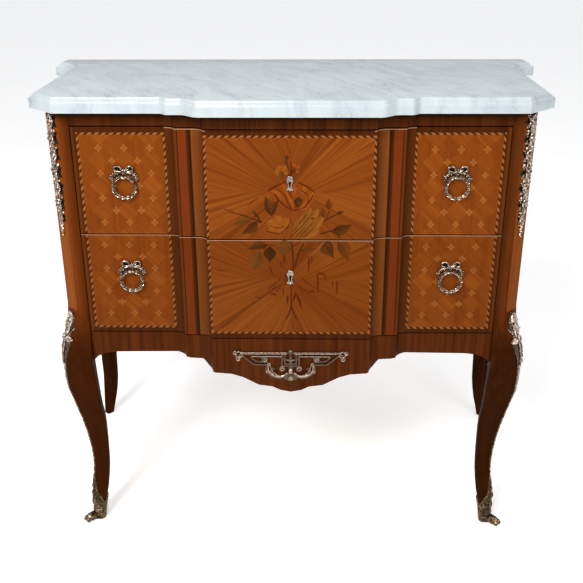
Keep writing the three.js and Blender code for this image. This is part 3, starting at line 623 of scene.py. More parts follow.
@dataclass(frozen=True)
class Wood:
    """A plain polished or bare wood whose grain runs along one axis.

    Attributes:
        name: the material's name.
        dark: the colour of its dark streaks.
        light: the colour of its light streaks.
        turn: how the grain is turned away from upright.
        rough: its roughness.
        polish: the weight of its clear polish.
        sheen: how strongly it mirrors the room.
    """

    name: str
    dark: Colour
    light: Colour
    turn: Point = (0, 0, 0)
    rough: float = 0.42
    polish: float = 0.0
    sheen: float = 0.04

    def make(self, effects: Effects) -> bpy.types.Material:
        """Builds the material.

        Args:
            effects: the shared effects.

        Returns:
            The material.
        """
        g, shader, made = new_material(self.name)
        point = g.place()[0]
        grain = g.call(effects.grain, {"Vector": g.turned(point, self.turn)})
        tone = grain["Streaks"] * 0.75 + grain["Fibres"] * 0.25
        colour = g.ramp(tone, ((0.32, self.dark), (0.68, self.light)))
        wear = g.call(effects.wear, {"Vector": point, "Scale": 120.0})
        colour = g.mix(wear["Proud"] * 0.25, colour, self.light)
        # Painted shade in the hollows
        colour = g.mix(wear["Hollow"] * 0.5, colour, (0.01, 0.005, 0.003))
        polish_shader(g, shader, colour, grain["Height"], self.rough, self.polish, self.sheen)
        return made


def new_material(name: str) -> tuple[Graph, bpy.types.Node, bpy.types.Material]:
    """Starts a material.

    Args:
        name: its name.

    Returns:
        A writer for its tree, its shader and the material.
    """
    made = bpy.data.materials.new(name)
    made.use_nodes = True
    return Graph(made.node_tree), made.node_tree.nodes["Principled BSDF"], made


def polish_shader(
    g: Graph, shader: bpy.types.Node, colour: Value, height: Value, rough: float, polish: float,
    sheen: float = 0.05,
) -> None:
    """Feeds a wood's shader.

    Args:
        g: the tree's writer.
        shader: the material's shader.
        colour: its colour.
        height: the grain's height.
        rough: its roughness.
        polish: the weight of the clear polish.
        sheen: how strongly its surface mirrors the room.
    """
    g.feed(shader.inputs["Base Color"], colour)
    g.feed(shader.inputs["Roughness"], rough - 0.05 + height * 0.1)
    g.feed(shader.inputs["Normal"], g.bump(height, 0.00006, 0.6))
    shader.inputs["Specular IOR Level"].default_value = sheen
    shader.inputs["Specular Tint"].default_value = (1.0, 0.36, 0.08, 1.0)
    shader.inputs["Coat Weight"].default_value = polish
    shader.inputs["Coat Roughness"].default_value = 0.18


@dataclass(frozen=True)
class Panel:
    """A panel with stringing round it.

    Attributes:
        inner: the near upright line's distance from the middle, below 0 for none.
        outer: the far upright line's.
        top: the upper line's height.
        low: the lower line's height.
    """

    inner: float
    outer: float
    top: float
    low: float

    def inside(self, g: Graph, across: Value, up: Value) -> Wire:
        """The mask of what lies in it."""
        return g.band(across, self.inner, self.outer) * g.band(up, self.low, self.top)


class Veneers:
    """The inlaid veneers of the fronts, stiles and sides."""

    trellised: Panel = Panel(0.204, 0.345, 0.758, 0.414)
    middle: Panel = Panel(-1.0, 0.136, 0.759, 0.416)
    side: Panel = Panel(-1.0, 0.088, 0.740, 0.430)
    joint: float = 0.587  # the height where the drawers meet
    shade: tuple[float, float] = (0.781, 0.790)  # the heights between which the marble's shade deepens
    bursts = (0.0023, 0.668), (0.0015, 0.516)  # the upper and the lower drawer's, as x and z
    dusk: Colour = (0.026, 0.0058, 0.0012)
    kingwood: Colour = (0.060, 0.0140, 0.0026)
    walnut: Colour = (0.105, 0.0250, 0.0042)
    amber: Colour = (0.270, 0.0760, 0.0100)
    rosewood: Colour = (0.150, 0.0260, 0.0040)
    sycamore: Colour = (0.400, 0.1900, 0.0520)
    ink: Colour = (0.012, 0.0032, 0.0010)
    slips_side: Colour = (0.200, 0.0760, 0.0215)
    slips_dark: Colour = (0.044, 0.0088, 0.0012)
    slips_middle: Colour = (0.205, 0.0750, 0.0235)

    def __init__(self, effects: Effects) -> None:
        """Keeps the shared effects."""
        self.effects = effects

    def crossed(self, g: Graph, point: Value, dark: Colour, light: Colour, turn: Point = (0, 0, 0)) -> tuple:
        """Banding veneer with lively streaks.

        Args:
            g: the tree's writer.
            point: the surface point.
            dark: the colour of the dark streaks.
            light: the colour of the light streaks.
            turn: how the grain is turned away from upright.

        Returns:
            Its colour and its height.
        """
        grain = g.call(self.effects.grain, {"Vector": g.turned(point, turn)})
        tone = grain["Streaks"] * 0.7 + grain["Fibres"] * 0.3
        return g.ramp(tone, ((0.34, dark), (0.66, light))), grain["Height"]

    def rope_round(self, g: Graph, across: Value, up: Value, panel: Panel) -> tuple[Wire, Wire]:
        """Rope stringing round a panel.

        Args:
            g: the tree's writer.
            across: the distance from the panel's middle, or from the chest's middle.
            up: the height.
            panel: the panel.

        Returns:
            The mask of the stringing and its light slips.
        """
        mask, light = None, None
        half = 0.002  # each line ends half its width past the corner
        lines = [(up, across - panel.outer, True), (across, up - panel.top, False),
                 (across, up - panel.low, False)]
        if panel.inner > 0:
            lines.append((up, across - panel.inner, True))
        inside_up = g.band(up, panel.low - half, panel.top + half)
        near = panel.inner - half if panel.inner > 0 else panel.inner
        inside_across = g.band(across, near, panel.outer + half)
        for along, off, upright in lines:
            slip = g.call(self.effects.rope, {"Along": along, "Across": off})
            shown = slip["Mask"] * (inside_up if upright else inside_across)
            if mask is None:
                mask, light = shown, slip["Light"]
            else:
                light = g.blend(shown, light, slip["Light"])
                mask = g.math("MAXIMUM", mask, shown)
        return mask, light

    def under_slab(self, g: Graph, colour: Value, z: Value) -> Wire:
        """A colour, darkened in the marble's shade."""
        return g.mix(g.step(z, *self.shade) * 0.85, colour, (0.006, 0.0020, 0.0008))

    def trellis_colour(self, g: Graph, point: Value, across: Value, up: Value, kept: Value = 1.0) -> tuple:
        """The diamond field.

        Args:
            g: the tree's writer.
            point: the surface point.
            across: the distance from a column of flowers.
            up: the height from a row of flowers.
            kept: where the field has its flowers.

        Returns:
            Its colour and its height.
        """
        flowers = g.call(self.effects.trellis, {"Across": across, "Up": up})
        upright, height = self.crossed(g, point, (0.100, 0.0200, 0.0022), (0.172, 0.0380, 0.0040))
        leaning, _ = self.crossed(g, point, (0.128, 0.0275, 0.0030), (0.222, 0.0550, 0.0060),
                                  (0, math.radians(45), 0))
        tone = flowers["Weave"] * 0.45 + flowers["Tone"] * 0.55
        colour = g.mix(tone, upright, leaning)
        colour = g.mix(flowers["Line"] * 0.5, colour, self.walnut)
        petals = g.mix(0.30, self.amber, self.sycamore)
        petals = g.mix(flowers["Line"] * 0.45, petals, self.walnut)
        faded = 0.26 + g.noise(point, 34.0, 2) * 0.42
        return g.mix(flowers["Flower"] * kept * faded, colour, petals), height

    def burst(self, g: Graph, x: Value, z: Value, middle: tuple[float, float]) -> Wire:
        """Wedges of veneer that fan out from a point.

        Args:
            g: the tree's writer.
            x: the surface point's x.
            z: its z.
            middle: the x and z that they fan out from.

        Returns:
            The colour.
        """
        dx, dz = x - middle[0], z - middle[1]
        quarter = (dx > 0.0) + (dz > 0.0) * 2.0
        span = g.math("SQRT", dx ** 2.0 + dz ** 2.0)
        dx = abs(dx) + 0.03
        dz = abs(dz) + 0.026
        turn = g.math("ARCTAN2", dz, dx) + quarter * math.pi
        wedge = turn * (9.0 / math.pi) + 0.5
        number = g.math("FLOOR", wedge)
        seam = abs(wedge - round(wedge))
        tone = g.add("ShaderNodeTexWhiteNoise", {"W": number + middle[1]}, noise_dimensions="1D")
        fibre = g.noise(g.vector(turn * 30.0, span * 4.0, number), 1.0, 5, 0.62, 0.3)
        fine = g.noise(g.vector(turn * 150.0, span * 9.0, number), 1.0, 3, 0.6)
        shade = tone * 0.16 + fibre * 0.6 + fine * 0.24
        browns = (
            (0.25, (0.096, 0.0200, 0.0026)), (0.5, (0.154, 0.0360, 0.0044)), (0.8, (0.222, 0.0620, 0.0080)),
        )
        colour = g.ramp(shade, browns)
        ray = g.noise(g.vector(turn * 13.0, span * 2.2, number), 1.0, 4, 0.66, 0.5)
        slant = abs(g.math("SINE", turn * 2.0))
        ray = g.step(ray, 0.5, 0.64) * (0.2 + slant * 0.62)
        colour = g.mix(ray, colour, (0.084, 0.0158, 0.0020))
        line = 1.0 - g.step(seam * span, 0.0004, 0.0018)
        colour = g.mix(line * 0.22, colour, self.walnut)
        return g.mix(g.step(span, 0.085, 0.02) * 0.24, colour, (0.090, 0.0140, 0.0016))

    def front(self) -> bpy.types.Material:
        """The drawer fronts: trellis panels, banded strips, and a sunburst in the middle.

        Returns:
            The material.
        """
        g, shader, made = new_material("inlaid_front")
        point, x, _, z = g.place()
        out = abs(x)
        banding, height = self.crossed(g, point, self.dusk, self.kingwood)
        warm, _ = self.crossed(g, point, self.kingwood, self.walnut)
        colour = g.mix(g.step(out, 0.348, 0.352), banding, warm)
        # The strips between the panels, from the cove outwards
        strips = g.ramp(
            (out - 0.13) / 0.1,
            (
                (0.00, self.dusk), (0.07, self.dusk), (0.09, self.walnut), (0.28, (0.175, 0.050, 0.0090)),
                (0.30, self.ink), (0.36, self.kingwood), (0.375, self.rosewood), (0.50, self.rosewood),
                (0.51, self.ink), (0.53, self.walnut), (0.57, self.walnut), (0.585, self.kingwood),
                (0.72, (0.076, 0.0180, 0.0032)),
            ),
        )
        middle_zone = g.band(out, 0.137, 0.202, 0.0004)
        streaked = g.mix(height * 0.5, strips, self.ink)
        colour = g.mix(middle_zone, colour, streaked)
        # Trellis panels
        lower, left = z < self.joint, x < 0.0
        # The flowers stand a little differently in each of the four panels
        column = g.blend(left, g.blend(lower, 0.2764, 0.2712), g.blend(lower, 0.2704, 0.2746))
        across = out - column
        up = z - g.blend(left, g.blend(lower, 0.7322, 0.5655), g.blend(lower, 0.7344, 0.5673))
        kept = g.band(across, -0.053, 0.053, 0.0005) * g.band(up, -0.137, 0.011, 0.0005)
        diamonds, _ = self.trellis_colour(g, point, across, up, kept)
        colour = g.mix(self.trellised.inside(g, out, z), colour, diamonds)
        # Sunburst
        rays = g.mix(lower, *(self.burst(g, x, z, middle) for middle in self.bursts))
        colour = g.mix(self.middle.inside(g, out, z), colour, rays)
        for panel, pale in (self.trellised, self.slips_side), (self.middle, self.slips_middle):
            mask, light = self.rope_round(g, out, z, panel)
            colour = g.mix(mask, colour, g.mix(light, self.slips_dark, pale))
        # Painted highlights: a pale line along the lower drawer's top edge, and one along the upper drawer's
        # top edge in the middle strips
        painted_arris_highlight = g.band(z, self.joint - 0.0019, self.joint, 0.0001)
        colour = g.mix(painted_arris_highlight * 0.8, colour, (0.520, 0.3300, 0.2100))
        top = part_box("upper_drawer_front")[1].z
        lit = g.band(z, top - 0.0016, top + 0.001) * g.band(out, 0.134, 0.203, 0.0006)
        colour = g.mix(lit * 0.55, colour, (0.420, 0.2400, 0.1400))
        # Painted shade: the lower drawer is darker, as less light reaches it
        colour = g.mix(lower * 0.16, colour, (0.010, 0.0020, 0.0004))
        polish_shader(g, shader, colour, height, 0.46, 0.01)
        return made

    def frieze(self) -> bpy.types.Material:
        """Dark banding with upright streaks.

        Returns:
            The material.
        """
        g, shader, made = new_material("banded_frieze")
        point, _, _, z = g.place()
        colour, height = self.crossed(g, point, (0.028, 0.0060, 0.0012), (0.074, 0.0175, 0.0032))
        colour = self.under_slab(g, colour, z)
        polish_shader(g, shader, colour, height, 0.46, 0.01)
        return made

    def stile(self) -> bpy.types.Material:
        """The stiles and legs: upright grain, and an orange panel let into each canted corner.

        Returns:
            The material.
        """
        g, shader, made = new_material("inlaid_stile")
        point, x, y, z = g.place()
        out = abs(x)
        colour, height = self.crossed(g, point, (0.050, 0.0115, 0.0022), (0.105, 0.0260, 0.0044))
        colour = g.mix((x < 0.0) * 0.18, colour, (0.260, 0.0480, 0.0060))
        low = g.step(z, 0.36, 0.47)
        darker = g.mix(0.82, colour, (0.0085, 0.0020, 0.0006))
        colour = g.mix(low, darker, colour)
        # The cant runs from its front edge to its outer edge, and along is 0 in its middle
        along = out - CANT_OUT + (y + CANT_FORWARD)
        off = abs(out - CANT_OUT - (y + CANT_FORWARD))
        on_cant = 1.0 - g.step(off, 0.001, 0.002)
        tip = z - abs(along) * 0.4
        panel = g.band(along, -0.0222, 0.0222, 0.0006) * g.band(tip, 0.43, 0.9, 0.0006)
        amber, _ = self.crossed(g, point, (0.135, 0.0300, 0.0036), (0.220, 0.0560, 0.0066))
        colour = g.mix(panel * on_cant, colour, amber)
        wear = g.call(self.effects.wear, {"Vector": point, "Scale": 60.0})
        colour = g.mix(wear["Proud"] * 0.1, colour, (0.150, 0.0500, 0.0140))
        colour = self.under_slab(g, colour, z)
        # Painted shade on the legs' inner sides below the knees
        inner = g.step(out, 0.374, 0.357) * g.step(z, 0.36, 0.44)
        colour = g.mix(inner * 0.55, colour, (0.016, 0.0036, 0.0008))
        polish_shader(g, shader, colour, height, 0.46, 0.0, 0.02)
        return made

    def flank(self) -> bpy.types.Material:
        """The side panels: the same trellis within rope stringing and dark banding.

        Returns:
            The material.
        """
        g, shader, made = new_material("inlaid_side")
        point, _, y, z = g.place()
        banding, height = self.crossed(g, point, self.dusk, self.kingwood)
        middle = y - 0.001
        diamonds, _ = self.trellis_colour(g, point, middle, z - 0.5846)
        out = abs(middle)
        colour = g.mix(self.side.inside(g, out, z), banding, diamonds)
        mask, light = self.rope_round(g, out, z, self.side)
        colour = g.mix(mask, colour, g.mix(light, self.slips_dark, self.slips_side))
        polish_shader(g, shader, colour, height, 0.46, 0.01)
        return made


@dataclass(frozen=True)
class Slip:
    """Veneer for a slip of inlay, scorched along one half and towards its foot.

    Attributes:
        name: the material's name.
        scorched: its colour where hot sand shaded it.
        plain: its colour elsewhere.
    """

    name: str
    scorched: Colour
    plain: Colour

    def make(self, effects: Effects) -> bpy.types.Material:
        """Builds the material.

        Args:
            effects: the shared effects.

        Returns:
            The material.
        """
        g, shader, made = new_material(self.name)
        point = g.place()[0]
        across, along, _ = g.split(g.add("ShaderNodeUVMap", uv_map="UVMap"))
        half = g.step(across, 0.42, 0.58)
        foot = g.step(along, 0.0, 0.55)
        shade = half * 0.55 + foot * 0.45
        grain = g.call(effects.grain, {"Vector": g.turned(point, (0, math.radians(35), 0)), "Width": 1.4})
        shade = shade + (grain["Streaks"] - 0.5) * 0.6
        vein = abs(across - 0.5)
        colour = g.mix(shade, self.scorched, self.plain)
        colour = g.mix(g.step(vein, 0.05, 0.0) * 0.5, colour, self.scorched)
        polish_shader(g, shader, colour, grain["Height"], 0.40, 0.02)
        return made


@dataclass(frozen=True)
class Marble:
    """Grey-white marble with soft slanting veins."""

    ground: Colour = (0.345, 0.395, 0.42)
    pale: Colour = (0.455, 0.51, 0.53)
    vein: Colour = (0.235, 0.27, 0.29)

    def make(self, effects: Effects) -> bpy.types.Material:
        """Builds the material.

        Args:
            effects: the shared effects.

        Returns:
            The material.
        """
        g, shader, made = new_material("veined_marble")
        point = g.place()[0]
        bent = g.scaled(point, (8.0, 27.0, 11.0), (0, 0, math.radians(66)))
        clouds = g.noise(bent, 1.0, 8, 0.66, 1.0)
        fine = g.noise(g.scaled(point, (9, 40, 30), (0, 0, math.radians(70))), 1.0, 6, 0.62, 1.1)
        colour = g.ramp(clouds, ((0.26, self.ground), (0.60, self.pale)))
        thread = abs(fine - 0.5)
        vein = 1.0 - g.step(thread, 0.0, 0.03)
        vein = vein * g.step(clouds, 0.52, 0.36)
        colour = g.mix(vein * 0.6, colour, self.vein)
        # Painted shade: the slab's sides darker than its top
        colour = g.mix(g.step(g.upward(), 0.75, 0.25) * 0.22, colour, self.vein)
        g.feed(shader.inputs["Base Color"], colour)
        rough = 0.22 + g.noise(point, 90, 3) * 0.14
        g.feed(shader.inputs["Roughness"], rough)
        g.feed(shader.inputs["Normal"], g.bump(fine, 0.0001, 0.2))
        shader.inputs["Subsurface Weight"].default_value = 0.04
        shader.inputs["Subsurface Radius"].default_value = (0.01, 0.01, 0.01)
        shader.inputs["Subsurface Scale"].default_value = 0.01
        return made


@dataclass(frozen=True)
class Cast:
    """Cast metal: painted highlights on upturned faces and worn edges, dirt and painted shade in hollows.

    Attributes:
        name: the material's name.
        bright: its colour in painted highlights and on worn edges.
        dull: its toned colour.
        dirt: the colour of dirt and painted shade in its hollows.
        rough: its roughness.
        rub: how much of its bright colour shows on painted highlights and worn edges.
        edge: how much brighter its proud edges are, with wear and a painted highlight.
    """

    name: str
    bright: Colour
    dull: Colour
    dirt: Colour = (0.006, 0.004, 0.003)
    rough: float = 0.3
    rub: float = 0.75
    edge: float = 0.35

    def make(self, effects: Effects) -> bpy.types.Material:
        """Builds the material.

        Args:
            effects: the shared effects.

        Returns:
            The material.
        """
        g, shader, made = new_material(self.name)
        point = g.place()[0]
        wear = g.call(effects.wear, {"Vector": point, "Scale": 260.0})
        cloud = g.noise(point, 240, 5, 0.6)
        # Painted highlight: faces turned up are brighter, as if lit from above
        painted_highlight = g.step(g.upward(), 0.0, 0.75) * g.step(cloud, 0.42, 0.56)
        # Proud edges brighter, with wear and a painted highlight
        proud = wear["Proud"] * g.step(cloud, 0.4, 0.6) * self.edge
        colour = g.mix(g.math("ADD", painted_highlight, proud, clamp=True) * self.rub, self.dull, self.bright)
        # Dirt and painted shade in the hollows
        colour = g.mix(wear["Hollow"] * 0.92, colour, self.dirt)
        g.feed(shader.inputs["Base Color"], colour)
        shader.inputs["Metallic"].default_value = 1.0
        rough = self.rough + wear["Hollow"] * 0.4
        g.feed(shader.inputs["Roughness"], rough + cloud * 0.12)
        pits = g.noise(point, 1500, 3, 0.6)
        g.feed(shader.inputs["Normal"], g.bump(pits, 0.00008, 0.5))
        return made


@dataclass
class Finishes:
    """Every material of the chest."""

    effects: Effects = field(default_factory=Effects)

    def __post_init__(self) -> None:
        """Builds the materials."""
        veneers = Veneers(self.effects)
        self.front, self.frieze = veneers.front(), veneers.frieze()
        self.stile, self.flank = veneers.stile(), veneers.flank()
        along, deep = (0, math.radians(90), 0), (math.radians(90), 0, 0)
        oak = (0.20, 0.115, 0.050), (0.36, 0.23, 0.115)

        def made(finish: Wood | Marble | Cast) -> bpy.types.Material:
            """Builds one of the plain finishes."""
            return finish.make(self.effects)

        self.kingwood = made(
            Wood("kingwood_veneer", (0.012, 0.0030, 0.0009), (0.038, 0.0098, 0.0026), sheen=0.0)
        )
        self.oak_up = made(Wood("oak_upright", *oak, rough=0.6))
        self.oak_along = made(Wood("oak_along", *oak, along, 0.6))
        self.oak_deep = made(Wood("oak_deep", *oak, deep, 0.6))
        self.mahogany = made(
            Wood("mahogany_along", (0.085, 0.028, 0.010), (0.19, 0.070, 0.025), along, 0.5, 0.02)
        )
        self.marble = made(Marble())
        self.brass = made(
            Cast("toned_brass", (0.98, 0.84, 0.71), (0.160, 0.110, 0.078), rough=0.22, rub=0.92, edge=0.75)
        )
        self.ring = made(Cast("pull_brass", (0.72, 0.575, 0.46), (0.085, 0.056, 0.038), rough=0.24, rub=0.85))
        self.patina = made(Cast("dark_brass", (0.36, 0.28, 0.21), (0.060, 0.041, 0.029), rough=0.32, rub=0.8))
        # Near-black brass laid under and behind castings: painted shade in their gaps
        self.shade = made(
            Cast("shadowed_brass", (0.10, 0.075, 0.055), (0.014, 0.010, 0.007), rough=0.5, rub=0.4)
        )
        self.gilt = made(Cast("gilt_brass", (0.44, 0.31, 0.19), (0.030, 0.0165, 0.0080), rough=0.26, rub=0.8))
        self.apron = made(Cast("apron_brass", (0.66, 0.51, 0.41), (0.200, 0.135, 0.098), rough=0.28))
        self.ground = made(
            Cast("apron_ground", (0.24, 0.16, 0.11), (0.085, 0.052, 0.034), rough=0.4, rub=0.5)
        )
        self.silver = made(Cast("pale_brass", (0.80, 0.78, 0.74), (0.20, 0.18, 0.155), rough=0.22, rub=0.9))
        self.steel = made(
            Cast("brushed_steel", (0.42, 0.42, 0.41), (0.26, 0.26, 0.26), (0.05, 0.05, 0.05), 0.35)
        )
        self.inlay = {
            slip.name.removeprefix("inlay_"): slip.make(self.effects)
            for slip in (
                Slip("inlay_darkest", (0.020, 0.0060, 0.0014), (0.038, 0.0115, 0.0020)),
                Slip("inlay_dark", (0.030, 0.0092, 0.0018), (0.066, 0.0200, 0.0030)),
                Slip("inlay_olive", (0.062, 0.0190, 0.0028), (0.102, 0.0315, 0.0042)),
                Slip("inlay_faded", (0.056, 0.0140, 0.0020), (0.096, 0.0240, 0.0030)),
                Slip("inlay_hatched", (0.070, 0.0215, 0.0030), (0.100, 0.0290, 0.0038)),
                Slip("inlay_rose", (0.112, 0.0205, 0.0020), (0.200, 0.0450, 0.0044)),
                Slip("inlay_pale", (0.150, 0.0390, 0.0042), (0.200, 0.0540, 0.0060)),
                Slip("inlay_bloom", (0.115, 0.0340, 0.0042), (0.185, 0.0570, 0.0072)),
                Slip("inlay_umber", (0.038, 0.0080, 0.0013), (0.048, 0.0100, 0.0016)),
                Slip("inlay_madder", (0.070, 0.0105, 0.0012), (0.086, 0.0130, 0.0015)),
            )
        }


@dataclass(frozen=True)
class Studio:
    """The camera at the photograph's angle, a pale floor and soft light."""

    eye: Point = (0.027, -1.5068, 1.0483)
    tilt: Point = (66.94, 0.185, 1.025)
    lens: float = 51.37
    floor_width: float = 80.0

    def make(self) -> None:
        """Sets up the floor, the camera and the lights."""
        self.make_floor()
        self.make_camera()
        self.make_lights()

    def make_floor(self) -> None:
        """A wide, flat pale floor."""
        clear()
        bpy.ops.mesh.primitive_plane_add(size=self.floor_width, location=(0, 0, 0))
        floor = bpy.context.object
        floor.name = "floor"
        g, shader, made = new_material("pale_floor")
        cloud = g.noise(g.place()[0], 3.0, 4)
        g.feed(shader.inputs["Base Color"],
               g.ramp(cloud, ((0.3, (0.93, 0.93, 0.93)), (0.7, (0.96, 0.96, 0.96)))))
        shader.inputs["Roughness"].default_value = 0.75
        shader.inputs["Emission Color"].default_value = (1, 1, 1, 1)
        shader.inputs["Emission Strength"].default_value = 0.32
        dress(floor, made)

    def make_camera(self) -> None:
        """The camera."""
        lens = bpy.data.cameras.new("camera")
        lens.sensor_width = 36
        lens.lens = self.lens
        camera = bpy.data.objects.new("camera", lens)
        camera.location = self.eye
        camera.rotation_euler = Euler([math.radians(turn) for turn in self.tilt])
        bpy.context.scene.collection.objects.link(camera)
        bpy.context.scene.camera = camera

    def make_lights(self) -> None:
        """A wide key light from the front left, a fill from the right, and a pale sky."""
        world = bpy.data.worlds.new("pale_room")
        bpy.context.scene.world = world
        world.use_nodes = True
        world.node_tree.nodes["Background"].inputs[0].default_value = (0.97, 0.98, 1.0, 1)
        world.node_tree.nodes["Background"].inputs[1].default_value = 0.60
        bpy.context.scene.view_settings.view_transform = "Standard"
        bpy.context.scene.view_settings.look = "None"
        for name, place, size, power in (
            ("key", (-1.0, -2.3, 2.4), 0.9, 82.0),
            ("fill", (1.8, -2.6, 2.0), 1.6, 26.0),
            ("top", (0.2, -0.2, 3.2), 2.2, 10.0),
        ):
            lamp = bpy.data.lights.new(name, "AREA")
            lamp.size = size
            lamp.energy = power
            lamp.color = (1.0, 0.985, 0.96)
            holder = bpy.data.objects.new(name, lamp)
            holder.location = place
            holder.rotation_euler = (Vector((0, 0, 0.5)) - Vector(place)).to_track_quat("-Z", "Y").to_euler()
            bpy.context.scene.collection.objects.link(holder)


# Castings


def frame_at(place: Vector, out: Vector, up: Vector, spin: float = 0) -> Matrix:
    """A frame on a surface: x across, y up the surface and z out of it.

    Args:
        place: its origin.
        out: the surface's normal.
        up: roughly up the surface.
        spin: a turn about the normal, in degrees.

    Returns:
        The frame as a matrix.
    """
    out = out.normalized()
    across = up.cross(out).normalized()
    rise = out.cross(across)
    made = Matrix((across, rise, out)).transposed().to_4x4()
    return Matrix.Translation(place) @ made @ Matrix.Rotation(math.radians(spin), 4, "Z")


def facing(place: Vector, spin: float = 0) -> Matrix:
    """A frame that faces the front."""
    return frame_at(place, FRONT, UP, spin)


def sized(x: float, y: float | None = None, z: float | None = None) -> Matrix:
    """A stretch along the three axes, even where only one is given."""
    return Matrix.Diagonal((x, x if y is None else y, x if z is None else z, 1))


class Ground:
    """The surface of a piece, on which small castings are laid."""

    def __init__(self, piece: bpy.types.Object) -> None:
        """Reads the piece's faces once.

        Args:
            piece: the piece.
        """
        mesh = piece.data
        self.tree = BVHTree.FromPolygons(
            [vert.co.copy() for vert in mesh.vertices], [tuple(face.vertices) for face in mesh.polygons]
        )

    def lay(self, start: Vector, toward: Vector, up: Vector, spin: float = 0,
            lift: float = 0) -> Matrix | None:
        """A frame where a line from outside first meets the surface.

        Args:
            start: where the line starts, outside.
            toward: the way it goes.
            up: roughly up the surface.
            spin: a turn about the normal, in degrees.
            lift: the height above the surface.

        Returns:
            The frame, or None where the line misses.
        """
        hit, out, _, _ = self.tree.ray_cast(start, toward)
        if hit is None:
            return None
        return frame_at(hit + out * lift, out, up, spin)


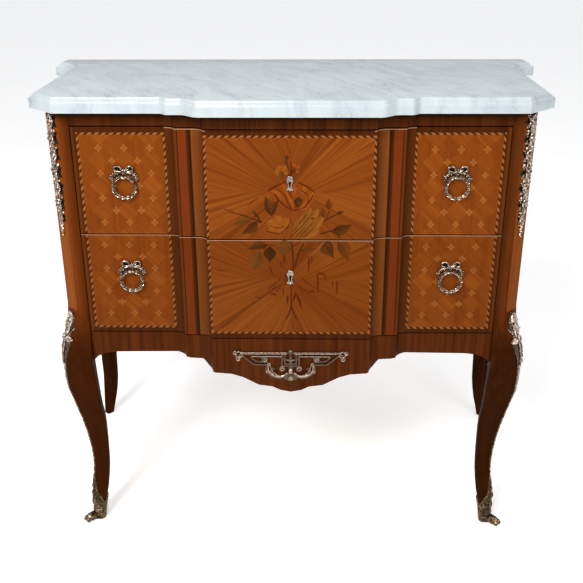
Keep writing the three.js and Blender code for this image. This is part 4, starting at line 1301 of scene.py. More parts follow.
class Foundry:
    """Patterns that repeat in the mounts, each modelled once, and the strands that join them."""

    def __init__(self) -> None:
        """Models the patterns."""
        self.bead = self.make_bead()
        self.leaf = self.make_leaf()
        self.petal = self.make_petal()
        self.flower = self.make_flower()
        self.sprig = self.make_sprig()

    def put_away(self) -> None:
        """Removes the patterns once all castings are made."""
        for pattern in (self.bead, self.leaf, self.petal, self.flower, self.sprig):
            bpy.data.objects.remove(pattern)

    def make_bead(self) -> bpy.types.Object:
        """A round bead with a flattened back, of radius 1.

        Returns:
            The pattern.
        """
        clear()
        bpy.ops.mesh.primitive_ico_sphere_add(subdivisions=2, radius=1)
        bead = bpy.context.object
        bpy.ops.object.mode_set(mode="EDIT")
        pick(bead, lambda co: co.z < -0.2)
        bpy.ops.transform.resize(value=(0.8, 0.8, 0.4))
        bpy.ops.object.mode_set(mode="OBJECT")
        bead.name = "bead_pattern"
        smooth(bead, 180)
        return bead

    def make_leaf(self) -> bpy.types.Object:
        """A pointed leaf with a sunk midrib and a curled tip, 2 long, lying along y with its foot at 0.

        Returns:
            The pattern.
        """
        clear()
        bpy.ops.mesh.primitive_grid_add(x_subdivisions=4, y_subdivisions=6, size=2, location=(0, 0, 0))
        leaf = bpy.context.object
        bpy.ops.object.mode_set(mode="EDIT")
        widths = (0.22, 0.46, 0.62, 0.60, 0.46, 0.28, 0.05)
        lifts = (0.00, 0.16, 0.24, 0.26, 0.22, 0.20, 0.30)
        for row, (width, lift) in enumerate(zip(widths, lifts)):
            level = -1 + row / 3
            pick(leaf, lambda co: abs(co.y - level) < 0.05)
            bpy.ops.transform.resize(value=(width, 1, 1))
            bpy.ops.transform.translate(value=(0, 0, lift))
        pick(leaf, lambda co: abs(co.x) < 0.02 and -0.9 < co.y < 0.9)
        bpy.ops.transform.translate(value=(0, 0, -0.14))
        bpy.ops.mesh.select_all(action="SELECT")
        bpy.ops.transform.translate(value=(0, 1, 0))
        bpy.ops.object.mode_set(mode="OBJECT")
        leaf.name = "leaf_pattern"
        apply_modifier(leaf, "SOLIDIFY", thickness=0.16, offset=-1)
        smooth(settle(leaf), 50)
        return leaf

    def make_petal(self) -> bpy.types.Object:
        """A rounded petal, hollow in the middle, 1 long, lying along y with its foot at 0.

        Returns:
            The pattern.
        """
        clear()
        bpy.ops.mesh.primitive_uv_sphere_add(segments=8, ring_count=6, radius=0.5, location=(0, 0.5, 0))
        petal = bpy.context.object
        bpy.ops.object.transform_apply(location=True)
        bpy.ops.object.mode_set(mode="EDIT")
        bpy.ops.mesh.select_all(action="SELECT")
        bpy.ops.transform.resize(value=(0.78, 1, 0.5), center_override=(0, 0.5, 0))
        pick(petal, lambda co: co.y < 0.3)
        bpy.ops.transform.resize(value=(0.6, 1, 0.8))
        pick(petal, lambda co: co.z > 0.2)
        bpy.ops.transform.translate(value=(0, 0, -0.22))
        pick(petal, lambda co: co.y > 0.8)
        bpy.ops.transform.translate(value=(0, 0, 0.12))
        bpy.ops.object.mode_set(mode="OBJECT")
        petal.name = "petal_pattern"
        smooth(petal, 180)
        return petal

    def make_flower(self) -> bpy.types.Object:
        """Five petals round a bead, of radius 1.

        Returns:
            The pattern.
        """
        pieces = [
            self.cast(self.petal,
                      Matrix.Rotation(math.radians(72 * turn), 4, "Z") @ Matrix.Rotation(0.25, 4, "X"))
            for turn in range(5)
        ]
        pieces.append(self.cast(self.bead, Matrix.Translation((0, 0, 0.12)) @ sized(0.30)))
        return join(pieces, "flower_pattern")

    def make_sprig(self) -> bpy.types.Object:
        """Three leaves from one foot.

        Returns:
            The pattern.
        """
        pieces = [
            self.cast(self.leaf, Matrix.Rotation(math.radians(turn), 4, "Z") @ sized(size))
            for turn, size in ((0, 1.0), (48, 0.8), (-48, 0.8))
        ]
        return join(pieces, "sprig_pattern")

    def cast(self, pattern: bpy.types.Object, place: Matrix) -> bpy.types.Object:
        """A copy of a pattern with its own mesh, set in place.

        Args:
            pattern: the pattern.
            place: its frame and size.

        Returns:
            The copy.
        """
        made = twin(pattern, "casting")
        made.data.transform(place)
        if place.determinant() < 0:
            made.data.flip_normals()
        return made

    def strand(self, points: Sequence[Vector], radii: Sequence[float]) -> bpy.types.Object:
        """A rounded strand along a smooth line.

        Args:
            points: the line's points.
            radii: its radius at each.

        Returns:
            The strand as a mesh.
        """
        clear()
        bpy.ops.curve.primitive_nurbs_path_add()
        line = bpy.context.object
        line.data.splines.clear()
        spline = line.data.splines.new("NURBS")
        spline.points.add(len(points) - 1)
        for target, place, radius in zip(spline.points, points, radii):
            target.co = (*place, 1)
            target.radius = radius
        spline.order_u = min(4, len(points))
        spline.use_endpoint_u = True
        spline.resolution_u = 4
        line.data.bevel_depth = 1
        line.data.bevel_resolution = 2
        line.data.use_fill_caps = True
        line.matrix_world = Matrix.Identity(4)
        bpy.ops.object.convert(target="MESH")
        made = bpy.context.object
        bpy.ops.object.mode_set(mode="EDIT")
        bpy.ops.mesh.select_all(action="SELECT")
        bpy.ops.mesh.remove_doubles(threshold=1e-6)
        bpy.ops.mesh.normals_make_consistent(inside=False)
        bpy.ops.object.mode_set(mode="OBJECT")
        smooth(made, 60)
        return made


def scroll(start: tuple[float, float], radius: float, first: float, turns: float,
           shrink: float = 0.75) -> list:
    """Points of a spiral in a plane.

    Args:
        start: its middle.
        radius: its outer radius.
        first: the angle where it starts, in degrees.
        turns: how many turns it makes, below 0 for clockwise.
        shrink: how much of the radius is gone at its end.

    Returns:
        The points, from outside in.
    """
    count = max(6, int(abs(turns) * 12))
    points = []
    for step in range(count + 1):
        share = step / count
        turn = math.radians(first) + 2 * math.pi * turns * share
        reach = radius * (1 - shrink * share)
        points.append((start[0] + reach * math.cos(turn), start[1] + reach * math.sin(turn)))
    return points


@dataclass
class Pull:
    """A ribbon bow screwed to the front and a laurel ring that swings in it."""

    name: str
    side: Side
    foundry: Foundry
    finish: bpy.types.Material
    shade: bpy.types.Material
    tube: float = 0.0023
    leaves: int = 16

    def make(self) -> None:
        """Makes the bow and the ring in the places of their nodes."""
        bow, ring = f"{self.name}_{self.side.word}_pull_bow", f"{self.name}_{self.side.word}_pull_ring"
        low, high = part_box(ring)
        self.middle = Vector(((low.x + high.x) / 2, (low.y + high.y) / 2, low.z + (high.x - low.x) / 2))
        self.radius = (high.x - low.x) / 2 - self.tube - 0.0009
        self.make_ring(ring)
        self.make_bow(bow)

    def make_ring(self, node: str) -> None:
        """The laurel ring: leaves in threes that point up both sides, bound with ribbon.

        Args:
            node: the node that it stands for.
        """
        clear()
        bpy.ops.mesh.primitive_torus_add(
            location=self.middle, rotation=(math.pi / 2, 0, 0), major_radius=self.radius,
            minor_radius=self.tube * 0.8, major_segments=40, minor_segments=8,
        )
        # The tube under the leaves is near-black brass, painted shade in the gaps between them
        pieces = [dress(settle(bpy.context.object), self.shade)]
        for step in range(self.leaves):
            turn = math.radians(-90 + (step + 0.5) * 360 / self.leaves)
            radial = Vector((math.cos(turn), 0, math.sin(turn)))
            along = Vector((-math.sin(turn), 0, math.cos(turn)))
            if math.cos(turn) < 0:
                along = -along
            place = self.middle + radial * (self.radius - 0.0005)
            # The tube is bare above and below where it hangs in the eye
            for lean in (-68, 0, 68) if radial.z < 0.95 else (0,):
                out = FRONT * math.cos(math.radians(lean)) + radial * math.sin(math.radians(lean))
                spot = frame_at(place + out * self.tube * 0.45 - along * 0.0038, out, along)
                pieces.append(self.foundry.cast(self.foundry.leaf, spot @ sized(0.0034, 0.0044, 0.0056)))
        for turn in (-90, 0, 180):
            radial = Vector((math.cos(math.radians(turn)), 0, math.sin(math.radians(turn))))
            spot = frame_at(self.middle + radial * self.radius, FRONT, radial)
            clear()
            bpy.ops.mesh.primitive_torus_add(
                major_radius=self.tube * 1.08, minor_radius=0.0006, major_segments=14, minor_segments=6
            )
            wrap = bpy.context.object
            wrap.data.transform(spot @ Matrix.Rotation(math.pi / 2, 4, "Y") @ Matrix.Rotation(0.3, 4, "X"))
            pieces.append(wrap)
        ring = cast_whole(pieces, f"{node}_cast", self.finish)
        smooth(ring, 60)
        seat(ring, body_of_node(node), [node])

    def make_bow(self, node: str) -> None:
        """The bow: two open loops, a crossed knot, and tails that curl down both sides of the ring.

        Args:
            node: the node that it stands for.
        """
        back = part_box(node)[1].y
        top = self.middle.z + self.radius
        spot = Vector((self.middle.x, back - 0.0022, top + 0.0045))

        def at(x: float, z: float, lift: float = 0) -> Vector:
            """A point in the bow's plane, in millimetres from its knot."""
            return spot + Vector((x / 1000, -lift / 1000, z / 1000))

        def bead(x: float, z: float, lift: float, *size: float) -> bpy.types.Object:
            """A bead in the bow's plane, of this size in metres."""
            return self.foundry.cast(self.foundry.bead, facing(at(x, z, lift)) @ sized(*size))

        pieces = []
        for hand in (-1, 1):
            loop = [(0.8, 3.2, 1.4), (3.2, 3.6, 1.8), (4.2, 6.0, 1.4), (5.2, 10.0, 1.0), (9.6, 11.6, 1.2),
                    (14.8, 11.0, 1.6),
                    (16.2, 7.0, 1.8), (14.2, 3.2, 1.6), (8.4, 2.6, 1.8), (3.0, 2.6, 2.0)]
            pieces.append(self.foundry.strand(
                [at(hand * x, z, lift) for x, z, lift in loop],
                [0.0010, 0.0013, 0.0014, 0.0016, 0.0017, 0.0016, 0.0015, 0.0014, 0.0013, 0.0010],
            ))
            tail = [(2.0, 0.8, 1.4), (7.0, 1.0, 1.8), (12.0, 0.0, 1.4), (16.4, -2.6, 1.2), (19.6, -6.2, 1.0),
                    (21.2, -10.0, 1.2), (20.8, -12.0, 0.8)]
            pieces.append(self.foundry.strand(
                [at(hand * x, z, lift) for x, z, lift in tail],
                [0.0011, 0.0016, 0.0017, 0.0016, 0.0015, 0.0013, 0.0008],
            ))
            for x, z, size in (
                (10.4, -2.4, 1.6), (14.6, 1.8, 1.6), (15.0, -5.0, 1.6), (18.2, -1.2, 1.7), (18.2, -8.6, 1.5),
                (21.4, -4.6, 1.6), (19.6, -12.2, 1.4), (23.0, -8.6, 1.5),
            ):
                pieces.append(bead(hand * x, z, 1.0, size / 1000))
        for x in (-3.4, 0.2, 3.8):
            cord = [at(x - 4.6, -0.6, 1.2), at(x - 1.6, 1.6, 3.0), at(x + 1.8, 4.6, 3.0),
                    at(x + 4.6, 7.0, 1.4)]
            pieces.append(self.foundry.strand(cord, [0.0009, 0.0016, 0.0016, 0.0009]))
        # Near-black brass behind the knot, in the loops' eyes and under the tails: painted shade
        pieces.append(dress(bead(0, 1.6, -0.4, 0.0075, 0.0050, 0.0022), self.shade))
        for hand in (-1, 1):
            pieces.append(dress(bead(hand * 10.2, 7.0, -1.0, 0.0054, 0.0038, 0.0008), self.shade))
            web = [at(hand * x, z, -0.2) for x, z in ((5.0, -0.8), (11.0, -1.4), (16.4, -4.8), (19.4, -9.0))]
            pieces.append(dress(self.foundry.strand(web, [0.0014, 0.0022, 0.0022, 0.0014]), self.shade))
        # The eye's two prongs pass behind and below the tube, clear of it all round
        drop, stand, reach = (top - spot.z) * 1000, (spot.y - self.middle.y) * 1000, 3.7
        for hand in (-1, 1):
            hook = [at(hand * 1.2, drop + reach * math.sin(turn), stand + reach * math.cos(turn))
                    for turn in map(math.radians, (140, 180, 225, 270, 315))]
            pieces.append(self.foundry.strand([at(hand * 1.2, 2.4, -0.5), *hook],
                                              [0.0011, 0.0010, 0.0009, 0.0009, 0.0008, 0.0006]))
        mount(pieces, node, self.finish)


@dataclass
class CornerMounts:
    """What is cast for one front corner: garland, knee mount, strip and foot mount."""

    side: Side
    foundry: Foundry
    finishes: Finishes
    ground: Ground
    seed: int = 7
    garland_half: float = 0.0156
    knee_top: float = 0.48

    def __post_init__(self) -> None:
        """Finds the corner's directions."""
        self.finish, self.gilt = self.finishes.brass, self.finishes.gilt
        self.shade, self.patina = self.finishes.shade, self.finishes.patina
        hand = self.side.value
        self.out = Vector((hand, -1, 0)).normalized()
        self.across = Vector((hand, 1, 0)).normalized()
        self.middle = Vector((hand * CANT_OUT, -CANT_FORWARD, 0))
        self.chance = random.Random(self.seed + hand)
        self.line = self.find_line()

    def find_line(self) -> list[tuple[float, float]]:
        """How far the middle of the canted corner stands aside of its upper part's, level by level.

        Returns:
            Each level's height and how far it stands aside.
        """
        levels: dict[float, list[Vector]] = {}
        for vert in frame["nodes"][f"front_{self.side.word}_leg"].data.vertices:
            if vert.co.z < self.knee_top:
                levels.setdefault(round(vert.co.z, 4), []).append(vert.co)
        line = []
        for z, around in sorted(levels.items()):
            reach = max(place.dot(self.out) for place in around)
            edge = [(place - self.middle).dot(self.across) for place in around
                    if place.dot(self.out) > reach - 0.0002]
            line.append((z, sum(edge) / len(edge)))
        return line

    def aside(self, z: float) -> float:
        """Where the corner's middle line stands at a height.

        Args:
            z: the height.

        Returns:
            How far aside, towards the side.
        """
        for (low, first), (high, last) in zip(self.line, self.line[1:]):
            if low <= z <= high:
                return first + (last - first) * (z - low) / (high - low)
        return self.line[-1][1] if z > self.line[-1][0] else self.line[0][1]

    def spot(
        self, z: float, aside: float = 0, spin: float = 0, lift: float = 0, ground: Ground | None = None,
        rise: float = 0,
    ) -> Matrix | None:
        """A frame on the corner's surface.

        Args:
            z: its height.
            aside: how far it stands from the corner's middle line, towards the side.
            spin: a turn about the normal, in degrees.
            lift: its height above the surface.
            ground: the surface, where it isn't the leg's.
            rise: how far above that height it is laid.

        Returns:
            The frame, or None beside the surface.
        """
        start = self.middle + self.out * 0.1 + self.across * (self.aside(z) + aside)
        start.z = z + rise
        return (ground or self.ground).lay(start, -self.out, UP, spin, lift)

    def put(
        self, pattern: bpy.types.Object, place: tuple, *size: float, finish: bpy.types.Material | None = None
    ) -> None:
        """Casts a pattern on the surface, where the place meets it.

        Args:
            pattern: the pattern.
            place: what spot takes, in its order.
            size: its size.
            finish: its finish, where it isn't the mount's.
        """
        spot = self.spot(*place)
        if spot is not None:
            piece = self.foundry.cast(pattern, spot @ sized(*size))
            self.pieces.append(dress(piece, finish) if finish else piece)

    def run(self, marks: Sequence[tuple[float, float, float, float]]) -> None:
        """Lays a strand over the surface through marks of height, aside, lift and radius.

        Args:
            marks: each point's height, aside, lift and radius.
        """
        spots = [(self.spot(z, aside, 0, lift), radius) for z, aside, lift, radius in marks]
        spots = [(spot.translation, radius) for spot, radius in spots if spot is not None]
        self.pieces.append(self.foundry.strand([place for place, _ in spots],
                                               [radius for _, radius in spots]))

    def make(self) -> None:
        """Makes the corner's mounts."""
        self.make_garland()
        self.make_knee()
        self.make_strip()
        self.make_foot()

    def make_garland(self) -> None:
        """A chain of flowers, leaves and berries that narrows down to a bud."""
        node = f"{self.side.word}_garland_mount"
        top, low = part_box(node)[1].z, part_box(node)[0].z
        f, self.pieces = self.foundry, []
        chance = self.chance.uniform
        z, spin = top - 0.0075, 0
        while z > low + 0.020:
            share = (top - z) / (top - low)
            half = self.garland_half * (1 if share < 0.68 else 1 - 1.8 * (share - 0.68))
            sway = half * 0.14 * (1 if spin % 2 else -1) - 0.0014
            radius = half * chance(0.62, 0.70)
            self.put(f.flower, (z, sway, chance(0, 72), 0.0016), radius, radius, radius * 1.1)
            self.put(f.bead, (z, sway, 0, 0.0034), radius * 0.26)
            # Near-black leaves under each flower: painted shade in the gaps of the chain
            for turn in range(0, 360, 72):
                self.put(f.leaf, (z, -0.0014, turn + chance(0, 30), 0.0004), half * 0.55, half * 0.52,
                         half * 0.3, finish=self.shade)
            for hand in (-1, 1):
                for turn, rise, reach in ((62, 0.35, 0.58), (118, -0.35, 0.54)):
                    size, turn = half * reach, turn + chance(-10, 10)
                    place = (z + half * rise * 0.8, hand * half * 0.30 - 0.0014, -hand * turn, 0.0014)
                    self.put(f.leaf, place, size * 0.62, size * 0.62, size * 0.8)
                berry = half * chance(0.15, 0.20)
                self.put(f.bead, (z - half * 1.02, hand * half * chance(0.40, 0.62) - 0.0014, 0, 0.0020),
                         berry)
            self.put(f.sprig, (z - half * 0.55, -sway, 180 + chance(-20, 20), 0.0020), half * 0.36,
                     half * 0.36, half * 0.5)
            z -= half * 1.78
            spin += 1
        for step in range(5):
            self.put(f.bead, (z + 0.004 - step * 0.0042, 0.0012 * (-1) ** step, 0, 0.0018),
                     0.0030 - 0.0003 * step)
        self.run([(top - 0.001, 0, 0.0010, 0.0016), (top - 0.06, 0.002, 0.0010, 0.0022),
                  (top - 0.12, -0.002, 0.0010, 0.0018), (low + 0.008, 0, 0.0010, 0.0009)])
        self.put(f.sprig, (low + 0.011, 0, 180, 0.0012), 0.0040)
        mount(self.pieces, node, self.finish)

    def make_knee(self) -> None:
        """An acanthus scroll that curls over at the top, with a pair of volutes and a ragged leaf below."""
        node = f"{self.side.word}_knee_mount"
        low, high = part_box(node)
        top, span = high.z, high.z - low.z
        f, self.pieces = self.foundry, [dress(twin(frame["nodes"][node], "knee_base"), self.patina)]
        # The head: a leaf that curls over a dark bead of painted shade
        for reach, radius in ((0.0080, 0.0022), (0.0048, 0.0016)):
            turns = scroll((0, 0), reach, -100, -0.85, 0.25)
            self.run([(top - 0.0105 + up, aside, 0.0042, radius) for aside, up in turns])
        self.put(f.bead, (top - 0.0105, 0, 0, 0.0016), 0.0058, 0.0058, 0.0014, finish=self.shade)
        # The body: broad lobes that lap over one another down to the volutes
        for down, aside, turn, size in (
            (0.0140, 0.0022, 174, 0.0108), (0.0220, -0.0028, 188, 0.0100), (0.0310, 0.0010, 178, 0.0080),
        ):
            self.put(f.leaf, (top - down, aside, turn, 0.0040), size * 0.66, size, size * 1.1)
        for hand in (-1, 1):
            self.run([
                (top - 0.015, hand * 0.0070, 0.0036, 0.0012), (top - 0.026, hand * 0.0066, 0.0044, 0.0019),
                (top - 0.036, hand * 0.0046, 0.0046, 0.0019), (top - 0.043, hand * 0.0036, 0.0046, 0.0015),
            ])
            for reach, radius in ((0.0052, 0.0016), (0.0024, 0.0012)):
                turns = scroll((hand * 0.0070, 0), reach, 90 - hand * 90, -hand * 1.15, 0.40)
                self.run([(top - 0.0490 + up, aside, 0.0044, radius) for aside, up in turns])
            # A dark bead of painted shade in each volute's eye
            self.put(f.bead, (top - 0.0490, hand * 0.0070, 0, 0.0020), 0.0040, 0.0048, 0.0010,
                     finish=self.shade)
            for down, aside, turn, size in ((0.020, 0.0066, 62, 0.0048), (0.034, 0.0066, 74, 0.0046)):
                self.put(f.leaf, (top - down, hand * aside, -hand * turn, 0.0026), size * 0.55, size,
                         size * 0.9)
            for share, aside, size in (
                (0.56, 0.0050, 0.0066), (0.66, 0.0046, 0.0064), (0.76, 0.0042, 0.0060),
                (0.86, 0.0036, 0.0056),
            ):
                self.put(f.leaf, (top - span * share, hand * aside, -hand * 156, 0.0022), size * 0.50, size,
                         size * 0.8, finish=self.patina)
        self.run([(top - 0.0430, -0.0060, 0.0030, 0.0008), (top - 0.0360, -0.0096, 0.0016, 0.0009),
                  (top - 0.0280, -0.0140, 0.0008, 0.0006)])
        for share, size in ((0.55, 0.0076), (0.67, 0.0074), (0.79, 0.0070), (0.91, 0.0062)):
            self.put(f.leaf, (top - span * share, 0, 180, 0.0038), size * 0.40, size, size * 0.9)
        mount(self.pieces, node, self.finish)

    def make_strip(self) -> None:
        """The thin moulding down the leg's outer corner, with a ragged edge at its head."""
        node = f"{self.side.word}_leg_edge_strip"
        low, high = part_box(node)
        f, self.pieces = self.foundry, [dress(twin(frame["nodes"][node], "strip_base"), self.gilt)]
        for step in range(11):
            z = high.z - 0.002 - step * 0.0048
            size = 0.0038 - 0.00016 * step
            for hand in (-1, 1):
                self.put(f.petal, (z, hand * 0.0008, 180 + hand * 42, 0.0010), size, size * 1.25, size)
        self.run([(high.z - step / 10 * (high.z - low.z), 0, 0.0017, 0.0009) for step in range(11)])
        mount(self.pieces, node, self.finish)

    def make_foot(self) -> None:
        """The foot mount: a cup with a leafy tongue up the leg and a toe of two rolled lobes."""
        node = f"{self.side.word}_foot_mount"
        base = dress(from_node(node, 0.0004, 40), self.gilt)
        cup = Ground(base)
        f, self.pieces = self.foundry, [base]
        for z, aside, turn, size in (
            (0.030, 0.000, 0, 0.0105), (0.034, 0.008, -14, 0.0085), (0.034, -0.008, 14, 0.0085),
            (0.050, 0.003, -6, 0.0080), (0.050, -0.004, 8, 0.0075), (0.066, 0.001, 0, 0.0070),
            (0.078, 0.000, 0, 0.0055),
        ):
            self.put(f.leaf, (z, aside, turn, 0.0004, cup), size * 0.75, size, size * 0.55)
        for hand in (-1, 1):
            self.put(f.bead, (0.006, hand * 0.0040, 0, -0.0035, cup, 0.0005), 0.0046, 0.0062, 0.0075)
            for z, aside in (
                (0.088, 0.0035), (0.076, 0.0045), (0.062, 0.0070), (0.048, 0.0100), (0.036, 0.0130),
            ):
                self.put(f.petal, (z, hand * aside, hand * -40, 0.0002, cup), 0.0050, 0.0070, 0.0050)
        for z in (0.012, 0.021):
            spots = [self.spot(z, step * 0.0016, 0, 0.0001, cup) for step in range(-8, 9)]
            ring = [spot.translation for spot in spots if spot is not None]
            if len(ring) > 3:
                self.pieces.append(f.strand(ring, [0.0007] * len(ring)))
        mount(self.pieces, node, self.gilt)


@dataclass
class ApronMount:
    """The mount on the apron: key lines, leaf scrolls, and a bud in the middle."""

    foundry: Foundry
    finish: bpy.types.Material
    ground: bpy.types.Material
    node: str = "apron_mount"

    def make(self) -> None:
        """Makes the mount in the node's place."""
        low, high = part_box(self.node)
        self.back, self.top = high.y, high.z
        self.half, self.tall = high.x, high.z - low.z
        pieces: list = [dress(twin(frame["nodes"][self.node], "apron_base"), self.ground)]
        for hand in (-1, 1):
            pieces += self.make_half(hand)
        f = self.foundry
        pieces.append(self.cast(f.bead, (0, -0.66, 2.6), 0, 0.0046, 0.0066, 0.0040))
        for turn in (150, 180, 210):
            pieces.append(self.cast(f.leaf, (0, -0.82, 4.0), turn, 0.0034, 0.0044, 0.0044))
        for turn in range(0, 360, 90):
            pieces.append(self.cast(f.leaf, (0, -0.29, 2.2), turn, 0.0030, 0.0044, 0.0030))
        pieces.append(self.cast(f.bead, (0, -0.29, 3.2), 0, 0.0020))
        pieces.append(self.cast(f.sprig, (0, -0.04, 2.0), 0, 0.0026))
        mount(pieces, self.node, self.finish)

    def at(self, x: float, z: float, lift: float = 1.6) -> Vector:
        """A point from shares of the half width and height, lifted off the back in millimetres."""
        return Vector((x * self.half, self.back - lift / 1000, self.top + z * self.tall))

    def cast(self, pattern: bpy.types.Object, spot: Point, turn: float, *size: float) -> bpy.types.Object:
        """A casting of this size at a spot given as for at, turned in degrees."""
        return self.foundry.cast(pattern, facing(self.at(*spot), turn) @ sized(*size))

    def line(
        self, hand: int, shares: Sequence[tuple[float, float]], radii: Sequence[float], lift: float = 2.6
    ) -> bpy.types.Object:
        """A strand through points given as shares."""
        return self.foundry.strand([self.at(hand * x, z, lift) for x, z in shares], radii)

    def make_half(self, hand: int) -> list[bpy.types.Object]:
        """One half: raised edges on the key lines, the rosette, the scrolls and the leafy swag.

        Args:
            hand: -1 for the left half, 1 for the right.

        Returns:
            Its castings.
        """
        f = self.foundry
        pieces = [
            self.line(hand, [(x, z) for x in marks], [0.0007] * 4)
            for z, marks in (
                (-0.055, (0.07, 0.3, 0.6, 0.9)), (-0.095, (0.07, 0.3, 0.6, 0.88)),
                (-0.18, (0.165, 0.3, 0.5, 0.7))
            )
        ]
        swag = ((0.40, -0.47), (0.41, -0.60), (0.37, -0.73), (0.28, -0.82), (0.18, -0.85), (0.11, -0.80),
                (0.06, -0.71))
        pieces.append(self.line(hand, swag, (0.0010, 0.0016, 0.0022, 0.0030, 0.0028, 0.0022, 0.0012), 2.4))
        inner = ((0.36, -0.47), (0.36, -0.60), (0.32, -0.70), (0.25, -0.76))
        pieces.append(self.line(hand, inner, (0.0008, 0.0010, 0.0010, 0.0007), 3.4))
        for x, z, turn, size in ((0.415, -0.60, 165, 4.2), (0.385, -0.70, 60, 3.2), (0.20, -0.80, 75, 3.0)):
            sizes = size / 1500, size / 1000, size / 1200
            pieces.append(self.cast(f.leaf, (hand * x, z, 2.6), hand * -turn, *sizes))
        pieces.append(self.cast(f.flower, (hand * 0.46, -0.27, 2.2), 20, 0.0050))
        for middle, reach, first, turns in (
            ((0.92, -0.10), 0.0070, 200, 1.3), ((0.985, -0.06), 0.0040, 250, 1.2),
            ((0.93, -0.27), 0.0046, 80, -1.2),
            ((0.15, -0.58), 0.0050, 100, -1.4), ((0.385, -0.45), 0.0036, -60, 1.2),
        ):
            placed = [
                Vector((hand * (middle[0] * self.half + x), self.back - 0.0026,
                        self.top + middle[1] * self.tall + z))
                for x, z in scroll((0, 0), reach, first, turns)
            ]
            radii = [0.0011 - 0.0004 * step / len(placed) for step in range(len(placed))]
            pieces.append(f.strand(placed, radii))
        for x, z, turn in ((0.86, -0.16, 120), (0.90, -0.22, 150), (0.97, -0.14, 60)):
            pieces.append(self.cast(f.leaf, (hand * x, z, 2.2), hand * -turn, 0.0026, 0.0034, 0.0034))
        return pieces


# Marquetry


class Slips:
    """Flat slips of inlay, each modelled once: a straight leaf, a leaf that bends, and a petal."""

    rows: int = 10
    leaf_halves = (0.02, 0.17, 0.33, 0.44, 0.50, 0.49, 0.43, 0.33, 0.21, 0.10, 0.005)
    petal_halves = (0.10, 0.24, 0.36, 0.44, 0.49, 0.50, 0.49, 0.45, 0.37, 0.25, 0.08)
    bends = (0.00, 0.02, 0.05, 0.07, 0.08, 0.07, 0.03, -0.04, -0.13, -0.24, -0.36)
    thickness: float = 0.0003

    def __init__(self) -> None:
        """Models the slips."""
        self.leaf = self.make_slip("leaf_slip", self.leaf_halves)
        self.bent = self.make_slip("bent_leaf_slip", self.leaf_halves, self.bends)
        self.petal = self.make_slip("petal_slip", self.petal_halves)

    def make_slip(
        self, name: str, halves: Sequence[float], bends: Sequence[float] | None = None
    ) -> bpy.types.Object:
        """A flat slip, 1 long and 1 wide, lying along y with its foot at 0.

        Args:
            name: its name.
            halves: its half width, row by row from the foot.
            bends: how far each row stands aside.

        Returns:
            The slip.
        """
        clear()
        bpy.ops.mesh.primitive_grid_add(x_subdivisions=4, y_subdivisions=self.rows, size=2,
                                        location=(0, 0, 0))
        slip = bpy.context.object
        bpy.ops.object.mode_set(mode="EDIT")
        for row, half in enumerate(halves):
            level = -1 + 2 * row / self.rows
            pick(slip, lambda co: abs(co.y - level) < 0.05)
            bpy.ops.transform.resize(value=(half, 1, 1), center_override=(0, 0, 0))
            if bends:
                bpy.ops.transform.translate(value=(bends[row], 0, 0))
        bpy.ops.mesh.select_all(action="SELECT")
        bpy.ops.transform.translate(value=(0, 1, 0))
        bpy.ops.transform.resize(value=(1, 0.5, 1), center_override=(0, 0, 0))
        bpy.ops.object.mode_set(mode="OBJECT")
        slip.name = name
        apply_modifier(slip, "SOLIDIFY", thickness=self.thickness, offset=-1)
        return settle(slip)

    def put_away(self) -> None:
        """Removes the patterns once the inlay is laid."""
        for pattern in (self.leaf, self.bent, self.petal):
            bpy.data.objects.remove(pattern)


